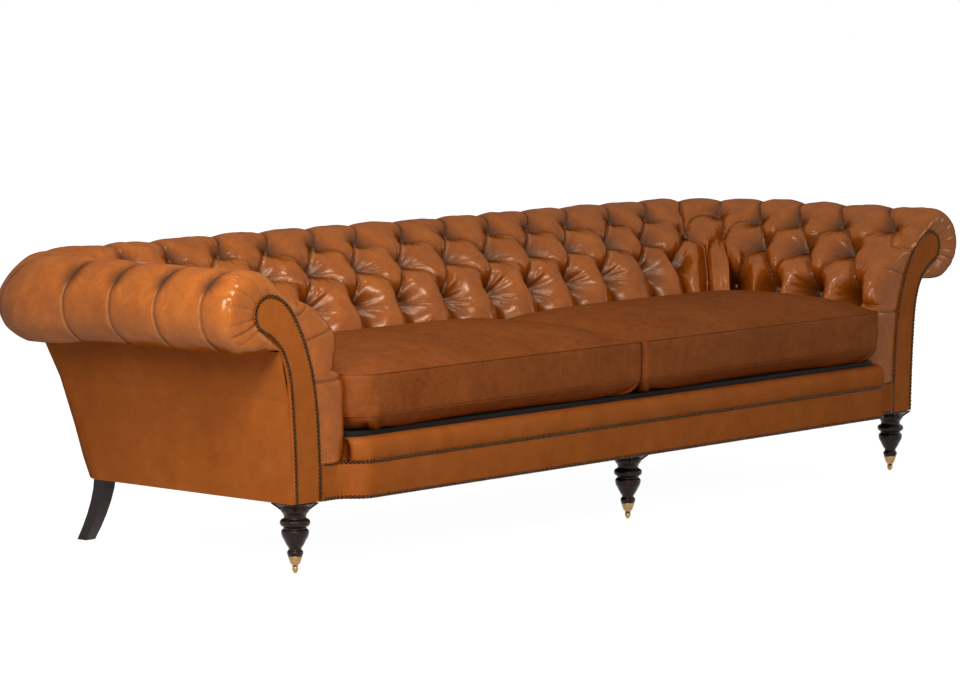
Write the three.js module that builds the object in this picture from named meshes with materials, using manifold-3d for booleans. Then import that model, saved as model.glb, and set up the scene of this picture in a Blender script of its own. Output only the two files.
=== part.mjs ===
import * as THREE from 'three';
import { mergeVertices } from 'three/addons/utils/BufferGeometryUtils.js';
import Module from 'manifold-3d';

// A long chesterfield sofa with turned front legs on castors and two loose seat cushions.
// X runs along the seat, Y from the arm fronts to the back, Z up from the floor.

const wasm = await Module();
wasm.setup();

// Outline: the roll is the padded scroll that runs round the arms and the back at one height
const ARM_ROLL_X = 1348; // middle of the sofa to the middle of an arm's roll
const BACK_ROLL_Y = 835; // arm fronts to the middle of the back's roll
const ROLL_HEIGHT = 619; // floor to the middle of the roll
const ROLL_RADIUS = 97;
const CORNER_RADIUS = 240; // plan radius of the roll's middle line
const INNER_CORNER_RADIUS = 45; // least plan radius of the padding in the seat's corners
const CORNER_EASE = 250; // stretch beside a corner that takes up the tighter padding
const FIT_GAP = 0.3; // between pieces that touch

// Seat rail and covers
const RAIL_BOTTOM = 166;
const RAIL_TOP = 252.7;
const COVER_THICKNESS = 8; // leather with its wadding
const FRONT_BREAK = 47; // the seat front stands this far before the arm fronts
const ARM_FOOT_INSET = 212; // middle of the roll to the inner nail line at the foot
const FOOT_X = ARM_ROLL_X - ARM_FOOT_INSET;
const PAD_DEPTH = 81; // the puffs at seat height stand this far inside the nail line's foot
const PUFF_INSET = ARM_FOOT_INSET + PAD_DEPTH;
const BREAK_SETBACK = 12; // the break starts this far outside the puffs
const BREAK_WIDTH = 39;
const BREAK_START_X = ARM_ROLL_X - PUFF_INSET + BREAK_SETBACK;
const BREAK_END_X = BREAK_START_X - BREAK_WIDTH;
const RAIL_BACK_Y = 10;
const LIP_HEIGHT = 51;
const LIP_DEPTH = 42;
const LIP_ROUND = 14;

// Arm fronts: the nail line of a facing, as shares of the foot's inset and of the roll's rise
const ARM_RISE = ROLL_HEIGHT - RAIL_BOTTOM;
const innerLineShares = [
  [1, 0.005], [0.997, 0.17], [0.968, 0.42], [0.934, 0.55],
  [0.89, 0.66], [0.8, 0.79], [0.69, 0.9], [0.53, 1.01],
];
const scrollShares = [[0.37, 1.065], [0.21, 1.08], [0.07, 1.05], [0.02, 0.99], [0.07, 0.925]];
const outerLineShares = [
  [0.27, 0.87], [0.44, 0.79], [0.545, 0.66], [0.59, 0.48], [0.618, 0.28], [0.64, 0.005],
];
const FACING_MARGIN = 5; // facing edge outside its nail line
const POST_INSET = 20; // front post edge inside the nail line
const POST_THICKNESS = 42;
const NAIL_BAND_WIDTH = 8;
const NAIL_BAND_HEIGHT = 2.7;
const OUTLINE_STEPS = 38;

// Tufted padding: face of the puffs, and the line that the buttons pull the leather back to
const BACK_PAD_LIFT = 5; // bottom of the back's padding above the underside of the deck
const puffShares = [
  [1, 0.646], [0.99, 0.743], [0.928, 0.832], [0.826, 0.91],
  [0.683, 0.977], [0.539, 1.029], [0.396, 1.073], [0.273, 1.108],
];
const buttonLineShares = [
  [0.943, 0.638], [0.906, 0.727], [0.868, 0.8], [0.802, 0.856],
  [0.708, 0.918], [0.604, 0.969], [0.453, 1.027], [0.288, 1.074],
];
const ROW_THREE = 4;
const ROW_TWO = 6;
const ROW_ONE = 8;
const rollAngles = [86, 130, 185, 245];
const ROLL_PLEAT_DEPTH = 9;
const TAIL_SHARE = 0.44; // where the arm's cover ends under the roll, of the foot's inset
const TAIL_DROP = 90; // below the middle of the roll
const coreShares = [[0.87, 0.727], [0.74, 0.856], [0.455, 1.012], [-0.142, 1.06], [-0.311, 1.005]];
const armCoreEndShares = [[-0.638, 0.929], [-0.103, 0.898], [0.774, 0.88]]; // of the roll's radius
const backCoreEndShares = [[-0.372, 0.88]];
const CORE_FOOT_SHARE = 0.925;

// Pleat places along the roll's middle line, from the middle of the back to an arm's front
const BACK_PITCH = 172;
const BACK_COLUMNS = 6;
const CORNER_CREST_SPREAD = 65;
const CORNER_BUTTON_SPREAD = 140;
const ARM_PITCH = 150;
const ARM_COLUMNS = 4;
const ARM_FIRST_COLUMN = 25; // past the end of the corner
const PLEAT_WIDTH = 26;
const BUTTON_WIDTH = 34;
const ROW_STEP = 45; // between rows of the padding's section
const CHANNEL_SHARE = 0.85;
const CREASE_SHARE = 0.6;
const PAD_SPLIT = 2; // along the middle line, between the arm and back padding

// Outside covers
const OUTSIDE_THICKNESS = 6;
const OUTSIDE_CORNER_RADIUS = 80;
const COVER_LIFT = 0.3; // covers end this far above the frame's underside
const OUTSIDE_BOTTOM = RAIL_BOTTOM + COVER_LIFT;
const OUTSIDE_DROP = 95; // top of the outside covers below the middle of the roll
const OUTSIDE_TOP = ROLL_HEIGHT - OUTSIDE_DROP;
const OUTSIDE_MARGIN = 5; // outside cover beyond the outer nail line
const outsideHeightShares = [0, 0.14, 0.36, 0.67, 0.9, 1];
const armOutsideInsetShares = [0.64, 0.63, 0.605, 0.56, 0.47, 0.43];
const BACK_FOOT_SHARE = 0.4575; // foot of the outside back before the roll's middle, of the foot's inset
const BACK_FOOT_Y = BACK_ROLL_Y - BACK_FOOT_SHARE * ARM_FOOT_INSET;
const BACK_RAKE = 128; // the outside back leans out by this at its top
const backRakeShares = [0, 0.17, 0.36, 0.66, 0.9, 1];

// Timber frame
const BOARD_THICKNESS = 26;
const BOARD_DROP = 23; // underside of the boards below the middle of the roll
const BOARD_BOTTOM = ROLL_HEIGHT - BOARD_DROP;
const boardInsetShares = [0.448, -0.236]; // of the foot's inset
const [BOARD_INNER_INSET, BOARD_OUTER_INSET] = boardInsetShares.map((share) => share * ARM_FOOT_INSET);
const BOARD_OVERRUN = 40; // straight boards past the start of the corner
const SIDE_RAIL_OVERHANG = 16; // towards the seat from the nail line's foot
const SIDE_RAIL_WIDTH = 40;
const SIDE_RAIL_INNER_X = FOOT_X - SIDE_RAIL_OVERHANG;
const SIDE_RAIL_OUTER_X = SIDE_RAIL_INNER_X + SIDE_RAIL_WIDTH;
const CROSS_RAIL_WIDTH = 40;
const POST_SIDE = 40;
const POST_FOOT_OFFSET = 4; // outside the nail line's foot
const POST_FOOT_SETBACK = 35; // back post before the foot of the outside back
const postHeadShares = [0.675, 0.392]; // head of the post inside the roll's middle, in X and Y
const POST_FOOT_X = FOOT_X + POST_FOOT_OFFSET;
const POST_HEAD_X = ARM_ROLL_X - postHeadShares[0] * ARM_FOOT_INSET;
const POST_FOOT_Y = BACK_FOOT_Y - POST_FOOT_SETBACK;
const POST_HEAD_Y = BACK_ROLL_Y - postHeadShares[1] * ARM_FOOT_INSET;
const BACK_RAIL_Y = POST_FOOT_Y - POST_SIDE / 2;
const UPRIGHT_WIDTH = 44;
const UPRIGHT_DEPTH = 36;
const UPRIGHT_HEAD_SHARE = 0.212;
const UPRIGHT_HEAD_Y = BACK_ROLL_Y - UPRIGHT_HEAD_SHARE * ARM_FOOT_INSET;
const STUFF_RAIL_LIFT = 47.3; // above the seat rails
const STUFF_RAIL_HEIGHT = 30;
const STUFF_RAIL_THICKNESS = 25;
const STUFF_RAIL_SHARE = 0.1038; // outside the nail line's foot, of the foot's inset
const STUFF_RAIL_BOTTOM = RAIL_TOP + STUFF_RAIL_LIFT;
const STUFF_RAIL_TOP = STUFF_RAIL_BOTTOM + STUFF_RAIL_HEIGHT;
const STUFF_RAIL_X = FOOT_X + STUFF_RAIL_SHARE * ARM_FOOT_INSET;
const BACK_STUFF_Y = POST_FOOT_Y - POST_SIDE / 2 - FIT_GAP - STUFF_RAIL_THICKNESS;

// Seat suspension and deck
const SPRING_COUNT = 8;
const SPRING_WIRE_RADIUS = 2;
const SPRING_HALF_WIDTH = 22;
const SPRING_WAVES = 10;
const SPRING_LIP_GAP = 3;
const SPRING_REST = 15; // length that lies on the back rail
const SPRING_FRONT_Y = LIP_DEPTH - FRONT_BREAK + SPRING_LIP_GAP;
const SPRING_REAR_Y = BACK_RAIL_Y + SPRING_REST;
const SPRING_SIDES = 5;
const SPRING_STEPS = 42;
const DECK_LIFT = 27.3; // above the seat rails
const DECK_THICKNESS = 38;
const DECK_EASE = 2; // between the deck and the arms' padding
const DECK_CORNER_SETBACK = 3; // behind the ends of the lip
const DECK_BOTTOM = RAIL_TOP + DECK_LIFT;
const DECK_TOP = DECK_BOTTOM + DECK_THICKNESS;
const DECK_HALF_LENGTH = ARM_ROLL_X - PUFF_INSET - DECK_EASE;
const DECK_FRONT_INSET = 27; // the deck narrows by this behind the breaks of the seat front
const DECK_FRONT_LENGTH = DECK_HALF_LENGTH - DECK_FRONT_INSET;
const SPRING_EDGE = 73; // outermost springs inside the ends of the deck
const SPRING_PITCH = 2 * (DECK_HALF_LENGTH - SPRING_EDGE) / (SPRING_COUNT - 1);
const DECK_CORNER_Y = LIP_DEPTH + DECK_CORNER_SETBACK;
const SEAT_REAR_CORNER = 55; // rounding of the deck and cushions beside the padding's corner
const DUST_COVER_THICKNESS = 1.7;
const DUST_COVER_EASE = 2.5; // between the dust cover and the legs

// Loose seat cushions
const CUSHION_SPLIT = 3; // between the two cushions
const CUSHION_EASE = 3.5; // between a cushion and an arm's padding
const CUSHION_SETBACK = 3; // behind the seat front
const CUSHION_EDGE_HEIGHT = 110;
const CUSHION_CROWN = 27;
const CUSHION_DRAW_IN = 7;
const CUSHION_SIDE_BULGE = 5;
const CUSHION_END_ROUND = 9;
const CUSHION_LENGTH = ARM_ROLL_X - PUFF_INSET - CUSHION_EASE - CUSHION_SPLIT / 2;
const CUSHION_FRONT_Y = CUSHION_SETBACK - FRONT_BREAK;
const CUSHION_REAR_Y = BACK_ROLL_Y - PUFF_INSET - CUSHION_SIDE_BULGE - FIT_GAP;
const CUSHION_EDGE_BOTTOM = DECK_TOP + FIT_GAP + CUSHION_CROWN;
const crownPowerShares = [4, 0.75]; // how late and how steeply the crown falls to the edges
const CUSHION_STATIONS = 14;
const CUSHION_TOP_STEPS = 9;

// Turned front legs, from the block down: radius and height of each member
const FRONT_LEG_Y = 40;
const CENTRE_LEG_Y = 9;
const LEG_BLOCK = 81;
const LEG_OFFSET = 1.5; // block's inner side outside the nail line's foot
const FRONT_LEG_X = FOOT_X + LEG_OFFSET + LEG_BLOCK / 2;
const LEG_BLOCK_HEIGHT = 14;
const COVE_RADIUS = 36;
const COVE_HEIGHT = 150;
const UPPER_NECK_RADIUS = 26;
const UPPER_NECK_HEIGHT = 133;
const RING_RADIUS = 35.5;
const RING_HEIGHT = 119.5;
const RING_HALF_DEPTH = 7;
const LOWER_NECK_RADIUS = 27;
const LOWER_NECK_HEIGHT = 106.5;
const VASE_RADIUS = 32.5;
const VASE_HEIGHT = 97;
const VASE_WAIST_RADIUS = 26.5;
const VASE_WAIST_HEIGHT = 80;
const VASE_FOOT_RADIUS = 14.7;
const VASE_FOOT_HEIGHT = 58;
const BEAD_RADIUS = 18.8;
const BEAD_HEIGHT = 48.5;
const BEAD_HALF_DEPTH = 5.5;
const TURNED_SIDES = 16;

// Castors under the front legs
const CUP_TOP = 41;
const CUP_BOTTOM = 21;
const CUP_TOP_RADIUS = 16.5;
const CUP_BOTTOM_RADIUS = 9.2;
const CUP_WALL = 1.6;
const SWIVEL_HOLE_RADIUS = 3.1;
const SWIVEL_PIN_RADIUS = 2.8;
const SWIVEL_PIN_TOP = 23.4;
const TOE_BOTTOM = 24;
const WHEEL_RADIUS = 9.5;
const WHEEL_WIDTH = 8;
const WHEEL_EDGE = 1.5;
const AXLE_RADIUS = 1.6;
const AXLE_HOLE_RADIUS = 1.9;
const CASTOR_TRAIL = 3;
const CHEEK_THICKNESS = 2.4;
const CHEEK_HALF_WIDTH = 4;
const FORK_PLATE_THICKNESS = 1.4;
const CASTOR_SIDES = 16;
const CASTOR_TURN = Math.PI / 4; // all three castors have rolled to this heading

// Swept rear legs
const REAR_LEG_SETBACK = 15; // behind the middle of the back post's foot
const REAR_LEG_X = POST_FOOT_X;
const REAR_LEG_Y = POST_FOOT_Y + REAR_LEG_SETBACK;
const REAR_LEG_TOP_SIDE = 38;
const REAR_LEG_FOOT_SIDE = 31;
const REAR_LEG_SWEEP = 70;
const REAR_LEG_STATIONS = 6;
const SWEEP_POWER = 1.6;

const leather = { color: 0xa85a22, roughness: 0.38, metalness: 0 };
const cushionLeather = { color: 0x9c4f1d, roughness: 0.5, metalness: 0 };
const beech = { color: 0xc9a26b, roughness: 0.7, metalness: 0 };
const mahogany = { color: 0x2c120b, roughness: 0.25, metalness: 0 };
const brass = { color: 0xb08a45, roughness: 0.3, metalness: 1 };
const antiqueBrass = { color: 0x5e4526, roughness: 0.4, metalness: 1 };
const springSteel = { color: 0x6d7075, roughness: 0.4, metalness: 1 };
const blackCambric = { color: 0x181818, roughness: 0.95, metalness: 0 };
const deckCloth = { color: 0x6b4526, roughness: 0.9, metalness: 0 };

const MIDDLE_Y = (BACK_ROLL_Y + ROLL_RADIUS - FRONT_BREAK - NAIL_BAND_HEIGHT - FIT_GAP) / 2;
const sofa = new THREE.Group();
sofa.position.y = -MIDDLE_Y;

function addPiece(name, geometry, look, parent = sofa) {
  const mesh = new THREE.Mesh(geometry, new THREE.MeshStandardMaterial(look));
  mesh.name = name;
  parent.add(mesh);
  return mesh;
}

// A closed mesh from points and triangles, with its faces turned outwards
function closedGeometry(points, triangles) {
  const normal = new THREE.Vector3();
  let volume = 0;
  for (const [i, j, k] of triangles) volume += normal.crossVectors(points[i], points[j]).dot(points[k]);
  const turned = volume < 0 ? triangles.map(([i, j, k]) => [i, k, j]) : triangles;
  const geometry = new THREE.BufferGeometry().setFromPoints(points);
  geometry.setIndex(turned.flat());
  geometry.computeVertexNormals();
  return geometry;
}

// Joins closed rings of equal length into one solid; flatEnd gives a ring in two coordinates,
// and without it each end is closed by a strip between the ring's two halves
function loftRings(rings, flatEnd) {
  const count = rings[0].length;
  const points = rings.flat();
  const triangles = [];
  for (let i = 0; i + 1 < rings.length; i++) {
    for (let j = 0; j < count; j++) {
      const next = (j + 1) % count;
      const [a, b] = [i * count + j, i * count + next];
      const [c, d] = [a + count, b + count];
      triangles.push([a, b, d], [a, d, c]);
    }
  }
  const ends = [[rings[0], 0, true], [rings.at(-1), points.length - count, false]];
  for (const [ring, first, reversed] of ends) {
    if (!flatEnd) {
      triangles.push(...stripEnd(count, first, reversed));
      continue;
    }
    const outline = ring.map(flatEnd);
    const forward = THREE.ShapeUtils.area(outline) > 0;
    for (const [i, j, k] of THREE.ShapeUtils.triangulateShape(outline.slice(), [])) {
      const sameWay = THREE.ShapeUtils.area([outline[i], outline[j], outline[k]]) > 0 === forward;
      const keep = sameWay !== reversed;
      triangles.push(keep ? [first + i, first + j, first + k] : [first + i, first + k, first + j]);
    }
  }
  return closedGeometry(points, triangles);
}

function stripEnd(count, first, reversed) {
  const triangles = [];
  for (let i = 0; i + 1 < count / 2; i++) {
    const [a, b, c, d] = [i, i + 1, count - 2 - i, count - 1 - i].map((j) => first + j);
    triangles.push(...(reversed ? [[a, c, b], [a, d, c]] : [[a, b, c], [a, c, d]]));
  }
  return triangles;
}

function boxBetween(x0, x1, y0, y1, z0, z1) {
  const box = new THREE.BoxGeometry(x1 - x0, y1 - y0, z1 - z0);
  return box.translate((x0 + x1) / 2, (y0 + y1) / 2, (z0 + z1) / 2);
}

// A flat outline in X and Z, thickened towards +Y from frontY
function plateFacingFront(outline, frontY, thickness) {
  const settings = { depth: thickness, bevelEnabled: false };
  const plate = new THREE.ExtrudeGeometry(new THREE.Shape(outline), settings);
  return plate.rotateX(Math.PI / 2).translate(0, frontY + thickness, 0);
}

// A flat outline in X and Y, thickened upwards from bottom
function plateFacingUp(outline, bottom, thickness) {
  const settings = { depth: thickness, bevelEnabled: false };
  const plate = new THREE.ExtrudeGeometry(new THREE.Shape(outline), settings);
  return plate.translate(0, 0, bottom);
}

function manifoldOf(geometry) {
  const plain = geometry.clone();
  plain.deleteAttribute('normal');
  plain.deleteAttribute('uv');
  const merged = mergeVertices(plain);
  const mesh = new wasm.Mesh({
    numProp: 3,
    vertProperties: new Float32Array(merged.attributes.position.array),
    triVerts: new Uint32Array(merged.index.array),
  });
  return new wasm.Manifold(mesh);
}

function joined(geometries) {
  const [first, ...rest] = geometries.map(manifoldOf);
  const mesh = rest.reduce((whole, piece) => whole.add(piece), first).getMesh();
  const geometry = new THREE.BufferGeometry();
  const positions = new Float32Array(mesh.vertProperties);
  geometry.setAttribute('position', new THREE.BufferAttribute(positions, mesh.numProp));
  geometry.setIndex(new THREE.BufferAttribute(new Uint32Array(mesh.triVerts), 1));
  geometry.computeVertexNormals();
  return geometry;
}

// Moves a closed or open run of points sideways; a positive distance goes to the run's left
function offsetRun(points, distance, closed) {
  const last = points.length - 1;
  return points.map((point, i) => {
    const before = points[i > 0 ? i - 1 : closed ? last : 0];
    const after = points[i < last ? i + 1 : closed ? 0 : last];
    const along = after.clone().sub(before).normalize();
    return new THREE.Vector2(point.x - along.y * distance, point.y + along.x * distance);
  });
}

// Nail line of the right arm's facing, from the inner foot over the scroll to the outer foot
const nailShares = [...innerLineShares, ...scrollShares, ...outerLineShares];
const nailCurve = new THREE.SplineCurve(nailShares.map(([inset, rise]) => (
  new THREE.Vector2(ARM_ROLL_X - inset * ARM_FOOT_INSET, RAIL_BOTTOM + rise * ARM_RISE))));
const nailLine = nailCurve.getPoints(OUTLINE_STEPS);

const atSide = (points, side) => points.map((point) => new THREE.Vector2(side * point.x, point.y));

function addArmFront(name, side) {
  const facing = offsetRun(nailLine, FACING_MARGIN, false);
  addPiece(`${name}_arm_facing`, plateFacingFront(atSide(facing, side), 0, COVER_THICKNESS), leather);
  const post = offsetRun(nailLine, -POST_INSET, false);
  const postFront = COVER_THICKNESS + FIT_GAP;
  addPiece(`${name}_front_post`, plateFacingFront(atSide(post, side), postFront, POST_THICKNESS), beech);
  const half = NAIL_BAND_WIDTH / 2;
  const band = [...offsetRun(nailLine, half, false), ...offsetRun(nailLine, -half, false).reverse()];
  const bandFront = -FIT_GAP - NAIL_BAND_HEIGHT;
  const nails = plateFacingFront(atSide(band, side), bandFront, NAIL_BAND_HEIGHT);
  addPiece(`${name}_facing_nails`, nails, antiqueBrass);
}

// Distances along the roll's middle line
const CORNER_START = ARM_ROLL_X - CORNER_RADIUS;
const CORNER_MIDDLE = CORNER_START + CORNER_RADIUS * Math.PI / 4;
const CORNER_END = CORNER_START + CORNER_RADIUS * Math.PI / 2;
const ARM_STRAIGHT = BACK_ROLL_Y - CORNER_RADIUS;
const PAD_FRONT = COVER_THICKNESS + FIT_GAP;
const PATH_END = CORNER_END + ARM_STRAIGHT - PAD_FRONT;

// Plan place at a distance along the middle line, for padding that lies inset inside that line
function planPoint(distance, inset, height) {
  const along = Math.abs(distance);
  const side = Math.sign(distance) || 1;
  const radius = Math.max(CORNER_RADIUS - inset, INNER_CORNER_RADIUS);
  const [centreX, centreY] = [ARM_ROLL_X - inset - radius, BACK_ROLL_Y - inset - radius];
  const ease = (t) => THREE.MathUtils.smoothstep(t, 0, 1);
  if (along <= CORNER_START) {
    const t = (along - CORNER_START + CORNER_EASE) / CORNER_EASE;
    const x = along - (CORNER_START - centreX) * ease(t);
    return new THREE.Vector3(side * x, centreY + radius, height);
  }
  if (along < CORNER_END) {
    const angle = (CORNER_END - along) / CORNER_RADIUS;
    const x = centreX + radius * Math.cos(angle);
    return new THREE.Vector3(side * x, centreY + radius * Math.sin(angle), height);
  }
  const t = (along - CORNER_END) / CORNER_EASE;
  const y = ARM_STRAIGHT - (along - CORNER_END) + (centreY - ARM_STRAIGHT) * (1 - ease(t));
  return new THREE.Vector3(side * (centreX + radius), y, height);
}

// Pleats, buttons and channels of one half, each a line from one place to another on the padding
const crestPlaces = [];
const rowOnePlaces = [];
const rowTwoPlaces = [];
const rowThreePlaces = [];
for (let i = 0; i <= BACK_COLUMNS; i++) {
  for (const row of [crestPlaces, rowOnePlaces, rowThreePlaces]) row.push(i * BACK_PITCH);
  if (i < BACK_COLUMNS) rowTwoPlaces.push((i + 0.5) * BACK_PITCH);
}
crestPlaces.push(CORNER_MIDDLE - CORNER_CREST_SPREAD, CORNER_MIDDLE + CORNER_CREST_SPREAD);
rowTwoPlaces.push(CORNER_MIDDLE - CORNER_BUTTON_SPREAD, CORNER_MIDDLE + CORNER_BUTTON_SPREAD);
rowThreePlaces.push(CORNER_MIDDLE);
for (let i = 0; i < ARM_COLUMNS; i++) {
  const place = CORNER_END + ARM_FIRST_COLUMN + i * ARM_PITCH;
  for (const row of [crestPlaces, rowOnePlaces, rowThreePlaces]) row.push(place);
  if (i + 1 < ARM_COLUMNS) rowTwoPlaces.push(place + ARM_PITCH / 2);
}

const creases = [];
const addCrease = (from, fromRow, to, toRow, depth) => creases.push({ from, fromRow, to, toRow, depth });
for (const place of crestPlaces) {
  const below = rowOnePlaces.includes(place) ? [place, ROW_ONE] : [nearest(rowTwoPlaces, place), ROW_TWO];
  addCrease(place, ROW_ONE + rollAngles.length, place, ROW_ONE + 1, 1);
  addCrease(place, ROW_ONE + 1, ...below, 1);
}
for (const place of rowTwoPlaces) {
  for (const [row, places] of [[ROW_ONE, rowOnePlaces], [ROW_THREE, rowThreePlaces]]) {
    for (const other of neighbours(places, place)) addCrease(place, ROW_TWO, other, row, CREASE_SHARE);
  }
}
for (const place of rowThreePlaces) addCrease(place, ROW_THREE, place, 0, CHANNEL_SHARE);

function nearest(places, place) {
  return places.reduce((best, p) => (Math.abs(p - place) < Math.abs(best - place) ? p : best));
}

function neighbours(places, place) {
  const reach = Math.max(BACK_PITCH, CORNER_BUTTON_SPREAD) * 0.9;
  return places.filter((p) => Math.abs(p - place) < reach && (p !== 0 || place > 0));
}

// How far the leather is pulled in at a place and row: 0 on a puff, 1 at a button
function tuftDepth(distance, row) {
  const along = Math.abs(distance);
  let depth = 0;
  for (const crease of creases) {
    const length = new THREE.Vector2(crease.to - crease.from, (crease.toRow - crease.fromRow) * ROW_STEP);
    const offset = new THREE.Vector2(along - crease.from, (row - crease.fromRow) * ROW_STEP);
    const t = THREE.MathUtils.clamp(offset.dot(length) / length.lengthSq(), 0, 1);
    const away = offset.sub(length.multiplyScalar(t)).length();
    depth = Math.max(depth, crease.depth * Math.exp(-((away / PLEAT_WIDTH) ** 2)));
  }
  const rows = [[ROW_ONE, rowOnePlaces], [ROW_TWO, rowTwoPlaces], [ROW_THREE, rowThreePlaces]];
  for (const [row0, places] of rows) {
    for (const place of places) {
      const away = Math.hypot(along - place, (row - row0) * ROW_STEP);
      depth = Math.max(depth, Math.exp(-((away / BUTTON_WIDTH) ** 2)));
    }
  }
  return depth;
}

// One closed ring of the padding: the tufted face, the roll, then back along the frame side
function padRing(distance, bottom, onArm) {
  const ring = [];
  const face = [[1, bottom / ROLL_HEIGHT], ...puffShares];
  const line = [[CORE_FOOT_SHARE, bottom / ROLL_HEIGHT], ...buttonLineShares];
  face.forEach(([faceInset, faceHeight], row) => {
    const pull = tuftDepth(distance, row);
    const inset = THREE.MathUtils.lerp(faceInset * PUFF_INSET, line[row][0] * ARM_FOOT_INSET, pull);
    const height = THREE.MathUtils.lerp(faceHeight, line[row][1], pull) * ROLL_HEIGHT;
    ring.push(planPoint(distance, inset, height));
  });
  rollAngles.forEach((degrees, i) => {
    const angle = THREE.MathUtils.degToRad(degrees);
    const radius = ROLL_RADIUS - ROLL_PLEAT_DEPTH * tuftDepth(distance, ROW_ONE + 1 + i);
    ring.push(planPoint(distance, radius * Math.cos(angle), ROLL_HEIGHT + radius * Math.sin(angle)));
  });
  if (onArm) ring.push(planPoint(distance, TAIL_SHARE * ARM_FOOT_INSET, ROLL_HEIGHT - TAIL_DROP));
  const end = onArm ? armCoreEndShares : backCoreEndShares;
  for (const [inset, height] of end.toReversed()) {
    ring.push(planPoint(distance, inset * ROLL_RADIUS, height * ROLL_HEIGHT));
  }
  for (const [inset, height] of [[CORE_FOOT_SHARE, bottom / ROLL_HEIGHT], ...coreShares].reverse()) {
    ring.push(planPoint(distance, inset * ARM_FOOT_INSET, height * ROLL_HEIGHT));
  }
  return ring;
}

// Places that a padding is sectioned at: its pleats and buttons, and halfway between them
function stations(from, to) {
  const places = [...crestPlaces, ...rowTwoPlaces, ...rowThreePlaces];
  const both = [...places, ...places.map((place) => -place)];
  const inside = both.filter((place) => place > from + PLEAT_WIDTH / 2 && place < to - PLEAT_WIDTH / 2);
  const marks = [from, ...new Set(inside.sort((a, b) => a - b)), to];
  return marks.flatMap((mark, i) => (i + 1 < marks.length ? [mark, (mark + marks[i + 1]) / 2] : [mark]));
}

function addPadding() {
  const split = PAD_SPLIT / 2;
  const acrossX = (point) => new THREE.Vector2(point.x, point.z);
  const backStations = stations(-CORNER_MIDDLE + split, CORNER_MIDDLE - split);
  const backRings = backStations.map((place) => padRing(place, DECK_BOTTOM + BACK_PAD_LIFT, false));
  addPiece('back_tufted_pad', loftRings(backRings, acrossX), leather);
  for (const [name, side] of [['left', -1], ['right', 1]]) {
    const places = stations(CORNER_MIDDLE + split, PATH_END).map((place) => side * place);
    const rings = places.map((place) => padRing(place, RAIL_TOP + FIT_GAP, true));
    addPiece(`${name}_arm_tufted_pad`, loftRings(rings, acrossX), leather);
  }
}

// Outside covers follow one rounded outline whose sides stand and whose back leans out
function outsidePoint(share, row, thickness, side) {
  const height = THREE.MathUtils.lerp(OUTSIDE_BOTTOM, OUTSIDE_TOP, outsideHeightShares[row]);
  const x = ARM_ROLL_X - armOutsideInsetShares[row] * ARM_FOOT_INSET + OUTSIDE_MARGIN - thickness;
  const y = BACK_FOOT_Y + backRakeShares[row] * BACK_RAKE - thickness;
  const radius = OUTSIDE_CORNER_RADIUS - thickness;
  if (share.front !== undefined) {
    const straight = THREE.MathUtils.lerp(y - radius, PAD_FRONT, share.front);
    return new THREE.Vector3(side * x, straight, height);
  }
  if (share.back !== undefined) return new THREE.Vector3(side * (x - radius) * share.back, y, height);
  const angle = share.turn * Math.PI / 2;
  const [turnX, turnY] = [radius * (Math.cos(angle) - 1), radius * (Math.sin(angle) - 1)];
  return new THREE.Vector3(side * (x + turnX), y + turnY, height);
}

function outsideRing(share, side) {
  const rows = outsideHeightShares.map((_, row) => row);
  const outer = rows.map((row) => outsidePoint(share, row, 0, side));
  const inner = rows.map((row) => outsidePoint(share, row, OUTSIDE_THICKNESS, side)).reverse();
  return [...outer, ...inner];
}

function addOutsideCovers() {
  const seam = FIT_GAP / OUTSIDE_CORNER_RADIUS;
  const armTurns = [0, 0.17, 0.34, 0.5 - seam].map((turn) => ({ turn }));
  for (const [name, side] of [['left', -1], ['right', 1]]) {
    const rings = [{ front: 1 }, { front: 0.5 }, ...armTurns].map((share) => outsideRing(share, side));
    addPiece(`${name}_arm_outside`, loftRings(rings), leather);
  }
  const backTurns = [0.5 + seam, 0.66, 0.83, 1].map((turn) => ({ turn }));
  const half = [...backTurns, { back: 0.5 }];
  const rings = [
    ...half.map((share) => outsideRing(share, -1)),
    ...half.toReversed().map((share) => outsideRing(share, 1)),
  ];
  addPiece('back_outside', loftRings(rings), leather);
}

// The seat front's plan: level with the arm fronts at its ends, forward between the breaks
function seatFrontY(x) {
  const t = (BREAK_START_X - Math.abs(x)) / (BREAK_START_X - BREAK_END_X);
  return -FRONT_BREAK * THREE.MathUtils.clamp(t, 0, 1);
}

// A section in Y and Z, carried along X behind the seat front; section(x) starts at that front
function alongSeatFront(halfLength, section) {
  const breaks = [BREAK_START_X, BREAK_END_X].filter((x) => x < halfLength);
  const half = [halfLength, ...breaks];
  const places = [...half.map((x) => -x), ...half.toReversed()];
  const rings = places.map((x) => section(x).map(([y, z]) => new THREE.Vector3(x, seatFrontY(x) + y, z)));
  return loftRings(rings);
}

function rectangle(y0, y1, z0, z1) {
  return [[y0, z0], [y1, z0], [y1, z1], [y0, z1]];
}

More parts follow.
